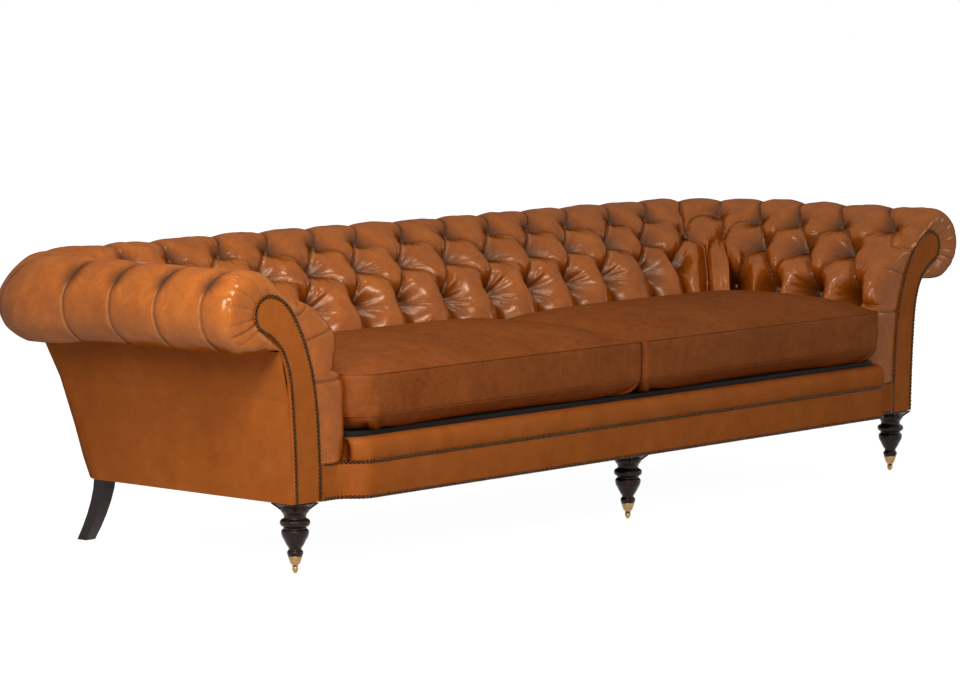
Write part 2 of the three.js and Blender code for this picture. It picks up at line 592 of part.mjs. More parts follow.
function addSeatFront() {
  const facingInnerX = FOOT_X - FACING_MARGIN - FIT_GAP;
  const postInnerX = FOOT_X + POST_INSET - FIT_GAP;
  const railFront = COVER_THICKNESS + FIT_GAP;
  const railDepth = (x) => (
    Math.abs(x) > BREAK_END_X ? POST_THICKNESS : RAIL_BACK_Y + FRONT_BREAK - railFront);
  addPiece('front_seat_rail', alongSeatFront(postInnerX, (x) => (
    rectangle(railFront, railFront + railDepth(x), RAIL_BOTTOM, RAIL_TOP))), beech);
  const lipBottom = RAIL_TOP + FIT_GAP;
  const lipTop = lipBottom + LIP_HEIGHT;
  const lipLength = ARM_ROLL_X - PUFF_INSET - FIT_GAP;
  addPiece('front_border', alongSeatFront(facingInnerX, () => (
    rectangle(0, COVER_THICKNESS, OUTSIDE_BOTTOM, RAIL_TOP))), leather);
  const rounding = (angle) => LIP_ROUND * (1 - Math.cos(angle));
  const roundSteps = [0, Math.PI / 6, Math.PI / 3, Math.PI / 2];
  const lip = [
    [LIP_DEPTH, lipBottom],
    [0, lipBottom],
    ...roundSteps.map((angle) => [rounding(angle), lipTop - LIP_ROUND + LIP_ROUND * Math.sin(angle)]),
    ...roundSteps.toReversed().map((angle) => (
      [LIP_DEPTH - rounding(angle), lipTop - LIP_ROUND + LIP_ROUND * Math.sin(angle)])),
  ];
  addPiece('seat_lip', alongSeatFront(lipLength, () => lip), leather);
  const bandBack = -FIT_GAP;
  const bandFront = bandBack - NAIL_BAND_HEIGHT;
  const half = NAIL_BAND_WIDTH / 2;
  for (const [name, middle] of [['upper', lipBottom], ['lower', OUTSIDE_BOTTOM + half]]) {
    const ring = rectangle(bandFront, bandBack, middle - half, middle + half);
    const length = facingInnerX - NAIL_BAND_WIDTH;
    addPiece(`${name}_front_nails`, alongSeatFront(length, () => ring), antiqueBrass);
  }
}

function addFrame() {
  const postBack = COVER_THICKNESS + FIT_GAP + POST_THICKNESS + FIT_GAP;
  const halfPost = POST_SIDE / 2;
  const boardTop = BOARD_BOTTOM + BOARD_THICKNESS;
  const railEnd = POST_FOOT_Y - halfPost - FIT_GAP;
  const boardEnd = ARM_STRAIGHT + BOARD_OVERRUN;
  const stuffEnd = POST_FOOT_Y - halfPost - FIT_GAP;
  const backRailEnd = POST_FOOT_X - halfPost - FIT_GAP;
  const outward = (side, near, far, y0, y1, z0, z1) => (
    boxBetween(Math.min(side * near, side * far), Math.max(side * near, side * far), y0, y1, z0, z1));
  const [railIn, railOut] = [SIDE_RAIL_INNER_X, SIDE_RAIL_OUTER_X];
  for (const [name, side] of [['left', -1], ['right', 1]]) {
    const rail = outward(side, railIn, railOut, postBack, railEnd, RAIL_BOTTOM, RAIL_TOP);
    addPiece(`${name}_side_rail`, rail, beech);
    const [innerX, outerX] = [ARM_ROLL_X - BOARD_INNER_INSET, ARM_ROLL_X - BOARD_OUTER_INSET];
    const board = outward(side, innerX, outerX, postBack, boardEnd, BOARD_BOTTOM, boardTop);
    addPiece(`${name}_arm_board`, board, beech);
    const stuff = outward(side, STUFF_RAIL_X, STUFF_RAIL_X + STUFF_RAIL_THICKNESS, postBack, stuffEnd,
      STUFF_RAIL_BOTTOM, STUFF_RAIL_TOP);
    addPiece(`${name}_arm_stuffing_rail`, stuff, beech);
    addPiece(`${name}_back_post`, backPost(side, RAIL_BOTTOM, halfPost, boardTop), beech);
  }
  const backRail = boxBetween(-backRailEnd, backRailEnd, BACK_RAIL_Y, BACK_RAIL_Y + POST_SIDE,
    RAIL_BOTTOM, RAIL_TOP);
  addPiece('back_seat_rail', backRail, beech);
  const stuffX = STUFF_RAIL_X - FIT_GAP;
  const backStuff = boxBetween(-stuffX, stuffX, BACK_STUFF_Y, BACK_STUFF_Y + STUFF_RAIL_THICKNESS,
    STUFF_RAIL_BOTTOM, STUFF_RAIL_TOP);
  addPiece('back_stuffing_rail', backStuff, beech);
  const topRailX = CORNER_START + BOARD_OVERRUN;
  const [topRailFront, topRailBack] = [BACK_ROLL_Y - BOARD_INNER_INSET, BACK_ROLL_Y - BOARD_OUTER_INSET];
  const topRail = boxBetween(-topRailX, topRailX, topRailFront, topRailBack, BOARD_BOTTOM, boardTop);
  addPiece('back_top_rail', topRail, beech);
  const halfCross = CROSS_RAIL_WIDTH / 2;
  const cross = boxBetween(-halfCross, halfCross, RAIL_BACK_Y + FIT_GAP, BACK_RAIL_Y - FIT_GAP, RAIL_BOTTOM,
    RAIL_TOP - SPRING_HALF_WIDTH);
  addPiece('centre_cross_rail', cross, beech);
  const halfDepth = UPRIGHT_DEPTH / 2;
  const uprightFoot = BACK_RAIL_Y + POST_SIDE - halfDepth;
  const foot = [0, uprightFoot, RAIL_TOP + FIT_GAP];
  const head = [0, UPRIGHT_HEAD_Y, BOARD_BOTTOM - FIT_GAP];
  const upright = slantedPost(foot, head, UPRIGHT_WIDTH / 2, halfDepth);
  addPiece('centre_back_upright', upright, beech);
}

function slantedPost([x0, y0, z0], [x1, y1, z1], halfX, halfY) {
  const ring = (x, y, z) => [[-1, -1], [1, -1], [1, 1], [-1, 1]].map(([i, j]) => (
    new THREE.Vector3(x + i * halfX, y + j * halfY, z)));
  return loftRings([ring(x0, y0, z0), ring(x1, y1, z1)]);
}

// A raked post whose head is the curved board between the arm board and the back top rail
function backPost(side, bottom, half, boardTop) {
  const head = [side * POST_HEAD_X, POST_HEAD_Y, BOARD_BOTTOM + BOARD_THICKNESS / 2];
  const post = slantedPost([side * POST_FOOT_X, POST_FOOT_Y, bottom], head, half, half);
  const gapTurn = FIT_GAP / (CORNER_RADIUS - BOARD_INNER_INSET);
  const inner = CORNER_RADIUS - BOARD_INNER_INSET;
  const outer = CORNER_RADIUS - BOARD_OUTER_INSET;
  const startTurn = (radius) => Math.asin(BOARD_OVERRUN / radius) + gapTurn;
  const arc = (radius) => {
    const from = startTurn(radius);
    const to = Math.PI / 2 - from;
    return [0, 0.25, 0.5, 0.75, 1].map((share) => {
      const angle = THREE.MathUtils.lerp(from, to, share);
      const x = CORNER_START + radius * Math.cos(angle);
      return new THREE.Vector2(side * x, ARM_STRAIGHT + radius * Math.sin(angle));
    });
  };
  const outline = [...arc(inner), ...arc(outer).reverse()];
  const board = plateFacingUp(outline, BOARD_BOTTOM, boardTop - BOARD_BOTTOM);
  return joined([post, board]);
}

function addSuspension() {
  const level = RAIL_TOP + FIT_GAP + SPRING_WIRE_RADIUS;
  const arch = DECK_BOTTOM - FIT_GAP - SPRING_WIRE_RADIUS - level;
  const section = new THREE.Shape(Array.from({ length: SPRING_SIDES }, (_, i) => {
    const angle = i / SPRING_SIDES * 2 * Math.PI;
    return new THREE.Vector2(SPRING_WIRE_RADIUS * Math.cos(angle), SPRING_WIRE_RADIUS * Math.sin(angle));
  }));
  const waveLength = (SPRING_REAR_Y - SPRING_FRONT_Y) / (SPRING_WAVES + 1);
  for (let i = 0; i < SPRING_COUNT; i++) {
    const x = (i - (SPRING_COUNT - 1) / 2) * SPRING_PITCH;
    const points = [];
    const addPoint = (y, sideways) => {
      const share = (y - SPRING_FRONT_Y) / (SPRING_REAR_Y - SPRING_FRONT_Y);
      points.push(new THREE.Vector3(x + sideways, y, level + arch * Math.sin(share * Math.PI)));
    };
    addPoint(SPRING_FRONT_Y, 0);
    for (let wave = 0; wave < SPRING_WAVES; wave++) {
      const sideways = wave % 2 ? -SPRING_HALF_WIDTH : SPRING_HALF_WIDTH;
      const y = SPRING_FRONT_Y + (wave + 1) * waveLength;
      addPoint(y - waveLength / 4, sideways);
      addPoint(y + waveLength / 4, sideways);
    }
    addPoint(SPRING_REAR_Y, 0);
    const wire = new THREE.ExtrudeGeometry(section, {
      extrudePath: new THREE.CatmullRomCurve3(points, false, 'centripetal'),
      steps: SPRING_STEPS,
      bevelEnabled: false,
    });
    addPiece(`seat_spring_${i + 1}`, wire, springSteel);
  }
  const backY = BACK_ROLL_Y - PUFF_INSET - FIT_GAP;
  const frontY = LIP_DEPTH - FRONT_BREAK + FIT_GAP;
  const outline = [
    [DECK_FRONT_LENGTH, frontY],
    [DECK_HALF_LENGTH, DECK_CORNER_Y],
    [DECK_HALF_LENGTH, backY - SEAT_REAR_CORNER],
    [DECK_HALF_LENGTH - SEAT_REAR_CORNER, backY],
  ];
  const deck = [
    ...outline.map(([x, y]) => new THREE.Vector2(x, y)),
    ...outline.toReversed().map(([x, y]) => new THREE.Vector2(-x, y)),
  ];
  addPiece('seat_deck', plateFacingUp(deck, DECK_BOTTOM, DECK_TOP - DECK_BOTTOM), deckCloth);
  const underside = RAIL_BOTTOM - FIT_GAP;
  const halfDust = FRONT_LEG_X - LEG_BLOCK / 2 - DUST_COVER_EASE;
  const dustFront = CENTRE_LEG_Y + LEG_BLOCK / 2 + DUST_COVER_EASE;
  const dustRear = REAR_LEG_Y - REAR_LEG_TOP_SIDE / 2 - DUST_COVER_EASE;
  const dustBottom = underside - DUST_COVER_THICKNESS;
  const dust = boxBetween(-halfDust, halfDust, dustFront, dustRear, dustBottom, underside);
  addPiece('dust_cover', dust, blackCambric);
}

// A crowned cushion: its edges are sewn lower than its middle and its sides draw in between corners.
// Its rear corner on the arm's side is rounded.
function cushionGeometry(side) {
  const halfLength = CUSHION_LENGTH / 2;
  const halfDepth = (CUSHION_REAR_Y - CUSHION_FRONT_Y) / 2;
  const halfEdge = CUSHION_EDGE_HEIGHT / 2;
  const [lateness, steepness] = crownPowerShares;
  const rise = (share) => (1 - share ** lateness) ** steepness;
  const ring = (x, shrink) => {
    const along = Math.min(Math.abs(x) / halfLength, 1);
    const reach = halfDepth - shrink - CUSHION_DRAW_IN * (1 - along ** 2);
    const intoCorner = Math.max(side * x - halfLength + SEAT_REAR_CORNER, 0) / SEAT_REAR_CORNER;
    const rear = reach - SEAT_REAR_CORNER * (1 - Math.sqrt(1 - intoCorner ** 2));
    const top = Array.from({ length: CUSHION_TOP_STEPS }, (_, i) => {
      const share = i / (CUSHION_TOP_STEPS - 1);
      const crown = CUSHION_CROWN * rise(along) * rise(Math.abs(share * 2 - 1));
      return [THREE.MathUtils.lerp(-reach, rear, share), halfEdge - shrink + crown];
    });
    const bottom = top.map(([y, z]) => [y, -z]).reverse();
    const section = [...top, [rear + CUSHION_SIDE_BULGE, 0], ...bottom, [-reach - CUSHION_SIDE_BULGE, 0]];
    return section.map(([y, z]) => new THREE.Vector3(x, y, z));
  };
  const inner = halfLength - CUSHION_END_ROUND;
  const gaps = CUSHION_STATIONS - 1;
  const evenly = Array.from({ length: CUSHION_STATIONS }, (_, i) => inner * (2 * i / gaps - 1));
  const corner = [1, 0.5].map((share) => side * (halfLength - SEAT_REAR_CORNER * share));
  const places = [...evenly, ...corner].sort((a, b) => a - b);
  const rings = [
    ring(-halfLength, CUSHION_END_ROUND),
    ...places.map((x) => ring(x, 0)),
    ring(halfLength, CUSHION_END_ROUND),
  ];
  return loftRings(rings, (point) => new THREE.Vector2(point.y, point.z));
}

function addCushions() {
  const y = (CUSHION_FRONT_Y + CUSHION_REAR_Y) / 2;
  const z = CUSHION_EDGE_BOTTOM + CUSHION_EDGE_HEIGHT / 2;
  for (const [name, side] of [['left', -1], ['right', 1]]) {
    const cushion = addPiece(`${name}_seat_cushion`, cushionGeometry(side), cushionLeather);
    cushion.position.set(side * (CUSHION_LENGTH + CUSHION_SPLIT) / 2, y, z);
  }
}

function lathed(profile, sides) {
  const points = profile.map(([radius, height]) => new THREE.Vector2(radius, height));
  return new THREE.LatheGeometry(points, sides).rotateX(Math.PI / 2);
}

function turnedLeg() {
  const top = RAIL_BOTTOM - FIT_GAP;
  const blockBottom = top - LEG_BLOCK_HEIGHT;
  const half = LEG_BLOCK / 2;
  const toeTop = CUP_TOP_RADIUS - CUP_WALL - FIT_GAP;
  const toeBottom = CUP_BOTTOM_RADIUS - CUP_WALL - FIT_GAP;
  const profile = [
    [0, top - LEG_BLOCK_HEIGHT / 2],
    [COVE_RADIUS, top - LEG_BLOCK_HEIGHT / 2],
    [COVE_RADIUS, COVE_HEIGHT],
    [UPPER_NECK_RADIUS, UPPER_NECK_HEIGHT],
    [(UPPER_NECK_RADIUS + RING_RADIUS) / 2, RING_HEIGHT + RING_HALF_DEPTH],
    [RING_RADIUS, RING_HEIGHT + RING_HALF_DEPTH / 3],
    [RING_RADIUS, RING_HEIGHT - RING_HALF_DEPTH / 3],
    [(LOWER_NECK_RADIUS + RING_RADIUS) / 2, RING_HEIGHT - RING_HALF_DEPTH],
    [LOWER_NECK_RADIUS, LOWER_NECK_HEIGHT],
    [VASE_RADIUS, VASE_HEIGHT],
    [VASE_WAIST_RADIUS, VASE_WAIST_HEIGHT],
    [VASE_FOOT_RADIUS, VASE_FOOT_HEIGHT],
    [BEAD_RADIUS, BEAD_HEIGHT + BEAD_HALF_DEPTH / 2],
    [BEAD_RADIUS, BEAD_HEIGHT - BEAD_HALF_DEPTH / 2],
    [CUP_TOP_RADIUS, CUP_TOP + FIT_GAP],
    [toeTop, CUP_TOP + FIT_GAP],
    [toeBottom, TOE_BOTTOM],
    [0, TOE_BOTTOM],
  ];
  const block = boxBetween(-half, half, -half, half, blockBottom, top);
  return joined([block, lathed(profile.toReversed(), TURNED_SIDES)]);
}

function castorCup() {
  const innerTop = CUP_TOP_RADIUS - CUP_WALL;
  const innerBottom = CUP_BOTTOM_RADIUS - CUP_WALL;
  const floor = CUP_BOTTOM + CUP_WALL;
  return lathed([
    [CUP_TOP_RADIUS, CUP_TOP],
    [innerTop, CUP_TOP],
    [innerBottom, floor],
    [SWIVEL_HOLE_RADIUS, floor],
    [SWIVEL_HOLE_RADIUS, CUP_BOTTOM],
    [CUP_BOTTOM_RADIUS, CUP_BOTTOM],
    [CUP_TOP_RADIUS, CUP_TOP],
  ], CASTOR_SIDES);
}

// The fork and its pin, with the wheel's heading along X and the swivel on the Z axis
function castorFork() {
  const top = CUP_BOTTOM - FIT_GAP;
  const plateBottom = top - FORK_PLATE_THICKNESS;
  const innerFace = WHEEL_WIDTH / 2 + FIT_GAP;
  const outerFace = innerFace + CHEEK_THICKNESS;
  const cheekTop = plateBottom + FORK_PLATE_THICKNESS / 2;
  const outline = new THREE.Shape([
    new THREE.Vector2(-CHEEK_HALF_WIDTH, cheekTop),
    new THREE.Vector2(CASTOR_TRAIL - CHEEK_HALF_WIDTH, WHEEL_RADIUS - CHEEK_HALF_WIDTH),
    new THREE.Vector2(CASTOR_TRAIL + CHEEK_HALF_WIDTH, WHEEL_RADIUS - CHEEK_HALF_WIDTH),
    new THREE.Vector2(CASTOR_TRAIL + CHEEK_HALF_WIDTH, cheekTop),
  ]);
  const hole = new THREE.Path().absarc(CASTOR_TRAIL, WHEEL_RADIUS, AXLE_HOLE_RADIUS, 0, 2 * Math.PI, true);
  outline.holes.push(hole);
  const cheek = (outerY) => new THREE.ExtrudeGeometry(outline, {
    depth: CHEEK_THICKNESS, bevelEnabled: false, curveSegments: CASTOR_SIDES / 2,
  }).rotateX(Math.PI / 2).translate(0, outerY, 0);
  const [plateX0, plateX1] = [-CHEEK_HALF_WIDTH, CASTOR_TRAIL + CHEEK_HALF_WIDTH];
  const plate = boxBetween(plateX0, plateX1, -outerFace, outerFace, plateBottom, top);
  const pin = lathed([
    [0, cheekTop],
    [SWIVEL_PIN_RADIUS, cheekTop],
    [SWIVEL_PIN_RADIUS, SWIVEL_PIN_TOP],
    [0, SWIVEL_PIN_TOP],
  ], CASTOR_SIDES);
  return joined([plate, cheek(outerFace), cheek(-innerFace), pin]);
}

function castorAxle() {
  const length = WHEEL_WIDTH + 2 * (FIT_GAP + CHEEK_THICKNESS);
  return new THREE.CylinderGeometry(AXLE_RADIUS, AXLE_RADIUS, length, CASTOR_SIDES);
}

function castorWheel() {
  const half = WHEEL_WIDTH / 2;
  const profile = [
    [AXLE_HOLE_RADIUS, -half],
    [WHEEL_RADIUS - WHEEL_EDGE, -half],
    [WHEEL_RADIUS, WHEEL_EDGE - half],
    [WHEEL_RADIUS, half - WHEEL_EDGE],
    [WHEEL_RADIUS - WHEEL_EDGE, half],
    [AXLE_HOLE_RADIUS, half],
    [AXLE_HOLE_RADIUS, -half],
  ].map(([radius, height]) => new THREE.Vector2(radius, height));
  return new THREE.LatheGeometry(profile, TURNED_SIDES);
}

function addLegs() {
  const places = [
    ['left', -FRONT_LEG_X, FRONT_LEG_Y],
    ['centre', 0, CENTRE_LEG_Y],
    ['right', FRONT_LEG_X, FRONT_LEG_Y],
  ];
  for (const [name, x, y] of places) {
    const corner = new THREE.Group();
    corner.position.set(x, y, 0);
    sofa.add(corner);
    addPiece(`${name}_front_leg`, turnedLeg(), mahogany, corner);
    addPiece(`${name}_castor_cup`, castorCup(), brass, corner);
    const swivel = new THREE.Group();
    swivel.rotation.z = CASTOR_TURN;
    corner.add(swivel);
    addPiece(`${name}_castor_fork`, castorFork(), brass, swivel);
    for (const [piece, geometry] of [['axle', castorAxle()], ['wheel', castorWheel()]]) {
      const turning = addPiece(`${name}_castor_${piece}`, geometry, brass, swivel);
      turning.position.set(CASTOR_TRAIL, 0, WHEEL_RADIUS);
    }
  }
  for (const [name, side] of [['left', -1], ['right', 1]]) {
    addPiece(`${name}_rear_leg`, sweptLeg(side), mahogany);
  }
}

function sweptLeg(side) {
  const top = RAIL_BOTTOM - FIT_GAP;
  const rings = Array.from({ length: REAR_LEG_STATIONS }, (_, i) => {
    const share = i / (REAR_LEG_STATIONS - 1);
    const half = THREE.MathUtils.lerp(REAR_LEG_TOP_SIDE, REAR_LEG_FOOT_SIDE, share) / 2;
    const y = REAR_LEG_Y + REAR_LEG_SWEEP * share ** SWEEP_POWER;
    return [[-1, -1], [1, -1], [1, 1], [-1, 1]].map(([a, b]) => (
      new THREE.Vector3(side * REAR_LEG_X + a * half, y + b * half, top * (1 - share))));
  });
  return loftRings(rings);
}

addFrame();
addSeatFront();
addArmFront('left', -1);
addArmFront('right', 1);
addSuspension();
addPadding();
addOutsideCovers();
addCushions();
addLegs();

export default sofa;
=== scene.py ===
import math

import bpy
import numpy as np
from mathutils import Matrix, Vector


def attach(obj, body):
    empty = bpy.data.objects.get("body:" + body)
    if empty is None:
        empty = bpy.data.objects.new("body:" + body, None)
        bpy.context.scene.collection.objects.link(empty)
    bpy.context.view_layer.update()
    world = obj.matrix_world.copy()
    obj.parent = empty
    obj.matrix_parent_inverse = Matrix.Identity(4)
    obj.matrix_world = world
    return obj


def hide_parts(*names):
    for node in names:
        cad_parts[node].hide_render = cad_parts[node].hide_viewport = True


# A long tan leather chesterfield. Lengths are in millimetres until a mesh is made.
# X runs along the seat, Y from the arm fronts to the back, Z up. MIDDLE_Y puts the sofa over the origin.
# The padding is drawn over two measures: the distance along the roll's middle line, from the back's
# middle, and the level along the padding's section, from the seat over the roll to the outside.

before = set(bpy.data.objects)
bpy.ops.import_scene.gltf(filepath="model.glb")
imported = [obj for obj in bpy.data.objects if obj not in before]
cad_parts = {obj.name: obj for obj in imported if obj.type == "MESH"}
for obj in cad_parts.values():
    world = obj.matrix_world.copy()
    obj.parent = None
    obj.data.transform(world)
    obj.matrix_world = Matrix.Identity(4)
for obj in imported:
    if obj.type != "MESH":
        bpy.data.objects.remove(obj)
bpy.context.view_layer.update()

MIDDLE_Y = 441
ARM_ROLL_X = 1348
BACK_ROLL_Y = 835
ROLL_HEIGHT = 619
CORNER_RADIUS = 240
INNER_CORNER_RADIUS = 45
CORNER_EASE = 250
ARM_FOOT_INSET = 212
PUFF_INSET = 293
RAIL_BOTTOM = 166
RAIL_TOP = 252.7
BREAK_START_X = 1067
BREAK_END_X = 1028
FRONT_BREAK = 47
BREAK_EASE = 20
NAIL_PITCH = 10.1

CORNER_START = ARM_ROLL_X - CORNER_RADIUS
CORNER_MIDDLE = CORNER_START + CORNER_RADIUS * math.pi / 4
CORNER_END = CORNER_START + CORNER_RADIUS * math.pi / 2
ARM_STRAIGHT = BACK_ROLL_Y - CORNER_RADIUS
PATH_END = CORNER_END + ARM_STRAIGHT


class Shade:
    """A socket of a finish. Arithmetic on it adds Math nodes."""

    def __init__(self, finish, socket):
        self.finish = finish
        self.socket = socket

    def maths(self, operation, *values):
        return self.finish.node("ShaderNodeMath", {"operation": operation}, values)

    def __add__(self, other):
        return self.maths("ADD", self, other)

    def __radd__(self, other):
        return self.maths("ADD", other, self)

    def __sub__(self, other):
        return self.maths("SUBTRACT", self, other)

    def __rsub__(self, other):
        return self.maths("SUBTRACT", other, self)

    def __mul__(self, other):
        return self.maths("MULTIPLY", self, other)

    def __rmul__(self, other):
        return self.maths("MULTIPLY", other, self)

    def __abs__(self):
        return self.maths("ABSOLUTE", self)

    def clear(self):
        return self.maths("MINIMUM", self.maths("MAXIMUM", self, 0.0), 1.0)


# Warm tint of the waxed shine on the leather
GLAZE = (1.0, 0.74, 0.52, 1.0)


class Finish:
    """The nodes of a material, or of the world, with one method that adds them."""

    def __init__(self, name, holder=None):
        self.holder = holder or bpy.data.materials.new(name)
        self.holder.use_nodes = True
        self.tree = self.holder.node_tree
        self.tree.nodes.clear()

    def node(self, kind, settings=None, sockets=(), out=0):
        node = self.tree.nodes.new(kind)
        for name, value in (settings or {}).items():
            if name == "stops":
                ramp = node.color_ramp
                while len(ramp.elements) < len(value):
                    ramp.elements.new(0.5)
                for element, (place, colour) in zip(ramp.elements, value):
                    element.position = place
                    element.color = (*colour, 1)
            else:
                setattr(node, name, value)
        pairs = sockets.items() if isinstance(sockets, dict) else enumerate(sockets)
        for name, value in pairs:
            if isinstance(value, Shade):
                self.tree.links.new(value.socket, node.inputs[name])
            else:
                node.inputs[name].default_value = value
        return Shade(self, node.outputs[out]) if node.outputs else None

    def mix(self, factor, first, second):
        first, second = [c if isinstance(c, Shade) else (*c, 1) for c in (first, second)]
        return self.node("ShaderNodeMix", {"data_type": "RGBA"}, {0: factor, 6: first, 7: second}, 2)

    def ramp(self, factor, stops):
        return self.node("ShaderNodeValToRGB", {"stops": stops}, (factor,))

    def place(self, stretch=(1, 1, 1)):
        where = self.node("ShaderNodeTexCoord", out="Object")
        return self.node("ShaderNodeMapping", None, {"Vector": where, "Scale": stretch})

    def noise(self, scale, detail=3.0, roughness=0.5, where=None, distortion=0.0):
        sockets = {"Vector": where or self.place(), "Scale": scale, "Detail": detail}
        sockets.update({"Roughness": roughness, "Distortion": distortion})
        return self.node("ShaderNodeTexNoise", None, sockets, "Fac")

    def pores(self, scale):
        """Cells of a hide's grain, low in the furrows between them."""
        sockets = {"Vector": self.place(), "Scale": scale, "Randomness": 1.0}
        edge = self.node("ShaderNodeTexVoronoi", {"feature": "DISTANCE_TO_EDGE"}, sockets, "Distance")
        return (edge * 6).clear()

    def bump(self, height, distance, strength, below=None):
        sockets = {"Height": height, "Distance": distance, "Strength": strength}
        if below:
            sockets["Normal"] = below
        return self.node("ShaderNodeBump", None, sockets)

    def bands(self, direction, scale):
        settings = {"wave_type": "BANDS", "bands_direction": direction}
        return self.node("ShaderNodeTexWave", settings, {"Scale": scale}, "Fac")

    def seen(self):
        """1 where the camera looks straight, or by a mirror or glass, and 0 for the light on the object."""
        path = self.node("ShaderNodeLightPath").socket.node
        rays = [Shade(self, path.outputs[f"Is {kind} Ray"]) for kind in ("Camera", "Glossy", "Transmission")]
        return (rays[0] + rays[1] + rays[2]).clear()

    def surface(self, **sockets):
        names = {name.replace("_", " "): value for name, value in sockets.items()}
        shader = self.node("ShaderNodeBsdfPrincipled", None, names)
        self.node("ShaderNodeOutputMaterial", None, {"Surface": shader})
        return self.holder

    def waxed(self, colour, roughness, normal, shine):
        """Leather under a thin even wax: a dull body mixed with a little of a warm gloss."""
        shared = {"Roughness": roughness, "Normal": normal}
        body = self.node(
            "ShaderNodeBsdfPrincipled", None, {"Base Color": colour, "Specular IOR Level": 0.0, **shared})
        gloss = self.node("ShaderNodeBsdfPrincipled", None, {"Base Color": GLAZE, "Metallic": 1.0, **shared})
        both = self.node("ShaderNodeMixShader", None, (shine, body, gloss))
        self.node("ShaderNodeOutputMaterial", None, {"Surface": both})
        return self.holder


def tufted_leather():
    """Glossy pulled-up hide, with painted shade darkening its creases and a painted highlight, partly wear,
    lightening the lips of its folds.
    """
    hide = Finish("tufted_leather")
    crease = hide.node("ShaderNodeAttribute", {"attribute_name": "crease"}, out="Fac")
    fold = hide.node("ShaderNodeAttribute", {"attribute_name": "fold"}, out="Fac")
    broad = hide.noise(3.2, 3.0, 0.55)
    cloud = hide.noise(17, 4.0, 0.62, distortion=0.6)
    speck = hide.noise(85, 3.0, 0.6)
    tone = (cloud * 0.55 + broad * 0.35 + speck * 0.2 - 0.05).clear()
    stops = [(0.3, (0.33, 0.07, 0.004)), (0.5, (0.46, 0.108, 0.008)), (0.72, (0.6, 0.165, 0.02))]
    tan = hide.ramp(tone, stops)
    # Painted shade: the hide darkens almost to black where the crease mark is high.
    shaded_creases = hide.mix((crease * 1.2 - 0.14).clear(), tan, (0.04, 0.007, 0.001))
    # Painted highlight, partly wear: the lips of the folds are lightened where they catch the light.
    lip_highlight_and_wear = hide.mix((fold * (speck * 0.9)).clear(), shaded_creases, (0.7, 0.3, 0.11))
    wrinkle = hide.noise(60, 4.0, 0.65, distortion=0.4)
    fine = hide.bump(hide.pores(330) * 0.5 + speck * 0.5, 0.0004, 0.15)
    normal = hide.bump(wrinkle, 0.002, 0.2, fine)
    roughness = 0.13 + cloud * 0.14 + crease * 0.15
    return hide.waxed(lip_highlight_and_wear, roughness, normal, 0.05)


def smooth_leather():
    """The same hide stretched flat over the outsides, the facings and the seat's front."""
    hide = Finish("smooth_leather")
    broad = hide.noise(2.6, 3.0, 0.55)
    streaks = hide.noise(9, 3.0, 0.6, hide.place((1, 1, 0.25)), 0.5)
    cloud = hide.noise(24, 4.0, 0.62)
    tone = (cloud * 0.4 + broad * 0.35 + streaks * 0.3 - 0.03).clear()
    stops = [(0.3, (0.36, 0.086, 0.012)), (0.52, (0.45, 0.117, 0.019)), (0.74, (0.56, 0.162, 0.034))]
    tan = hide.ramp(tone, stops)
    fine = hide.bump(hide.pores(330), 0.0004, 0.3)
    normal = hide.bump(hide.noise(38, 4.0, 0.6), 0.0018, 0.25, fine)
    return hide.waxed(tan, 0.36 + cloud * 0.14, normal, 0.012)


def cushion_leather():
    """Softer and browner hide of the cushions, with fine light cracks."""
    hide = Finish("cushion_leather")
    broad = hide.noise(4.5, 3.0, 0.6)
    cloud = hide.noise(26, 5.0, 0.66, distortion=0.8)
    veins = hide.noise(34, 5.0, 0.7, distortion=1.6)
    vein = 1 - (abs(veins - 0.5) * 26).clear()
    tone = (cloud * 0.6 + broad * 0.5 - 0.08).clear()
    stops = [(0.3, (0.225, 0.052, 0.008)), (0.52, (0.305, 0.075, 0.013)), (0.75, (0.39, 0.107, 0.022))]
    brown = hide.ramp(tone, stops)
    crackled = hide.mix(vein * 0.2, brown, (0.48, 0.17, 0.055))
    fine = hide.bump(hide.pores(300), 0.0004, 0.15)
    normal = hide.bump(veins * 0.6 + cloud * 0.4, 0.002, 0.16, fine)
    return hide.waxed(crackled, 0.34 + cloud * 0.12, normal, 0.016)


def dark_wood():
    wood = Finish("dark_mahogany")
    grain = wood.noise(40, 5.0, 0.6, wood.place((1, 1, 0.08)), 1.2)
    stops = [(0.35, (0.007, 0.0024, 0.0015)), (0.6, (0.022, 0.006, 0.003)), (0.8, (0.045, 0.013, 0.006))]
    normal = wood.bump(grain, 0.0003, 0.2)
    return wood.surface(
        Base_Color=wood.ramp(grain, stops), Roughness=0.2 + grain * 0.12, Normal=normal,
        Specular_IOR_Level=0.2)


def metal(name, dark, light, roughness, scale):
    brass = Finish(name)
    stain = brass.noise(scale, 4.0, 0.65)
    colour = brass.mix((stain * 1.6 - 0.3).clear(), dark, light)
    normal = brass.bump(stain, 0.0003, 0.15)
    return brass.surface(
        Base_Color=colour, Roughness=roughness + stain * 0.2, Metallic=1.0, Normal=normal)


def plain_timber():
    beech = Finish("frame_beech")
    grain = beech.noise(30, 5.0, 0.6, beech.place((0.12, 1, 1)), 0.8)
    colour = beech.mix(grain, (0.42, 0.25, 0.12), (0.62, 0.42, 0.23))
    normal = beech.bump(grain, 0.0004, 0.3)
    return beech.surface(Base_Color=colour, Roughness=0.62 + grain * 0.1, Normal=normal)


def woven(name, dark, light, scale):
    cloth = Finish(name)
    weave = cloth.bands("X", scale) * cloth.bands("Y", scale)
    colour = cloth.mix(weave * 0.7 + cloth.noise(12) * 0.3, dark, light)
    normal = cloth.bump(weave, 0.0006, 0.4)
    return cloth.surface(Base_Color=colour, Roughness=0.9, Normal=normal)


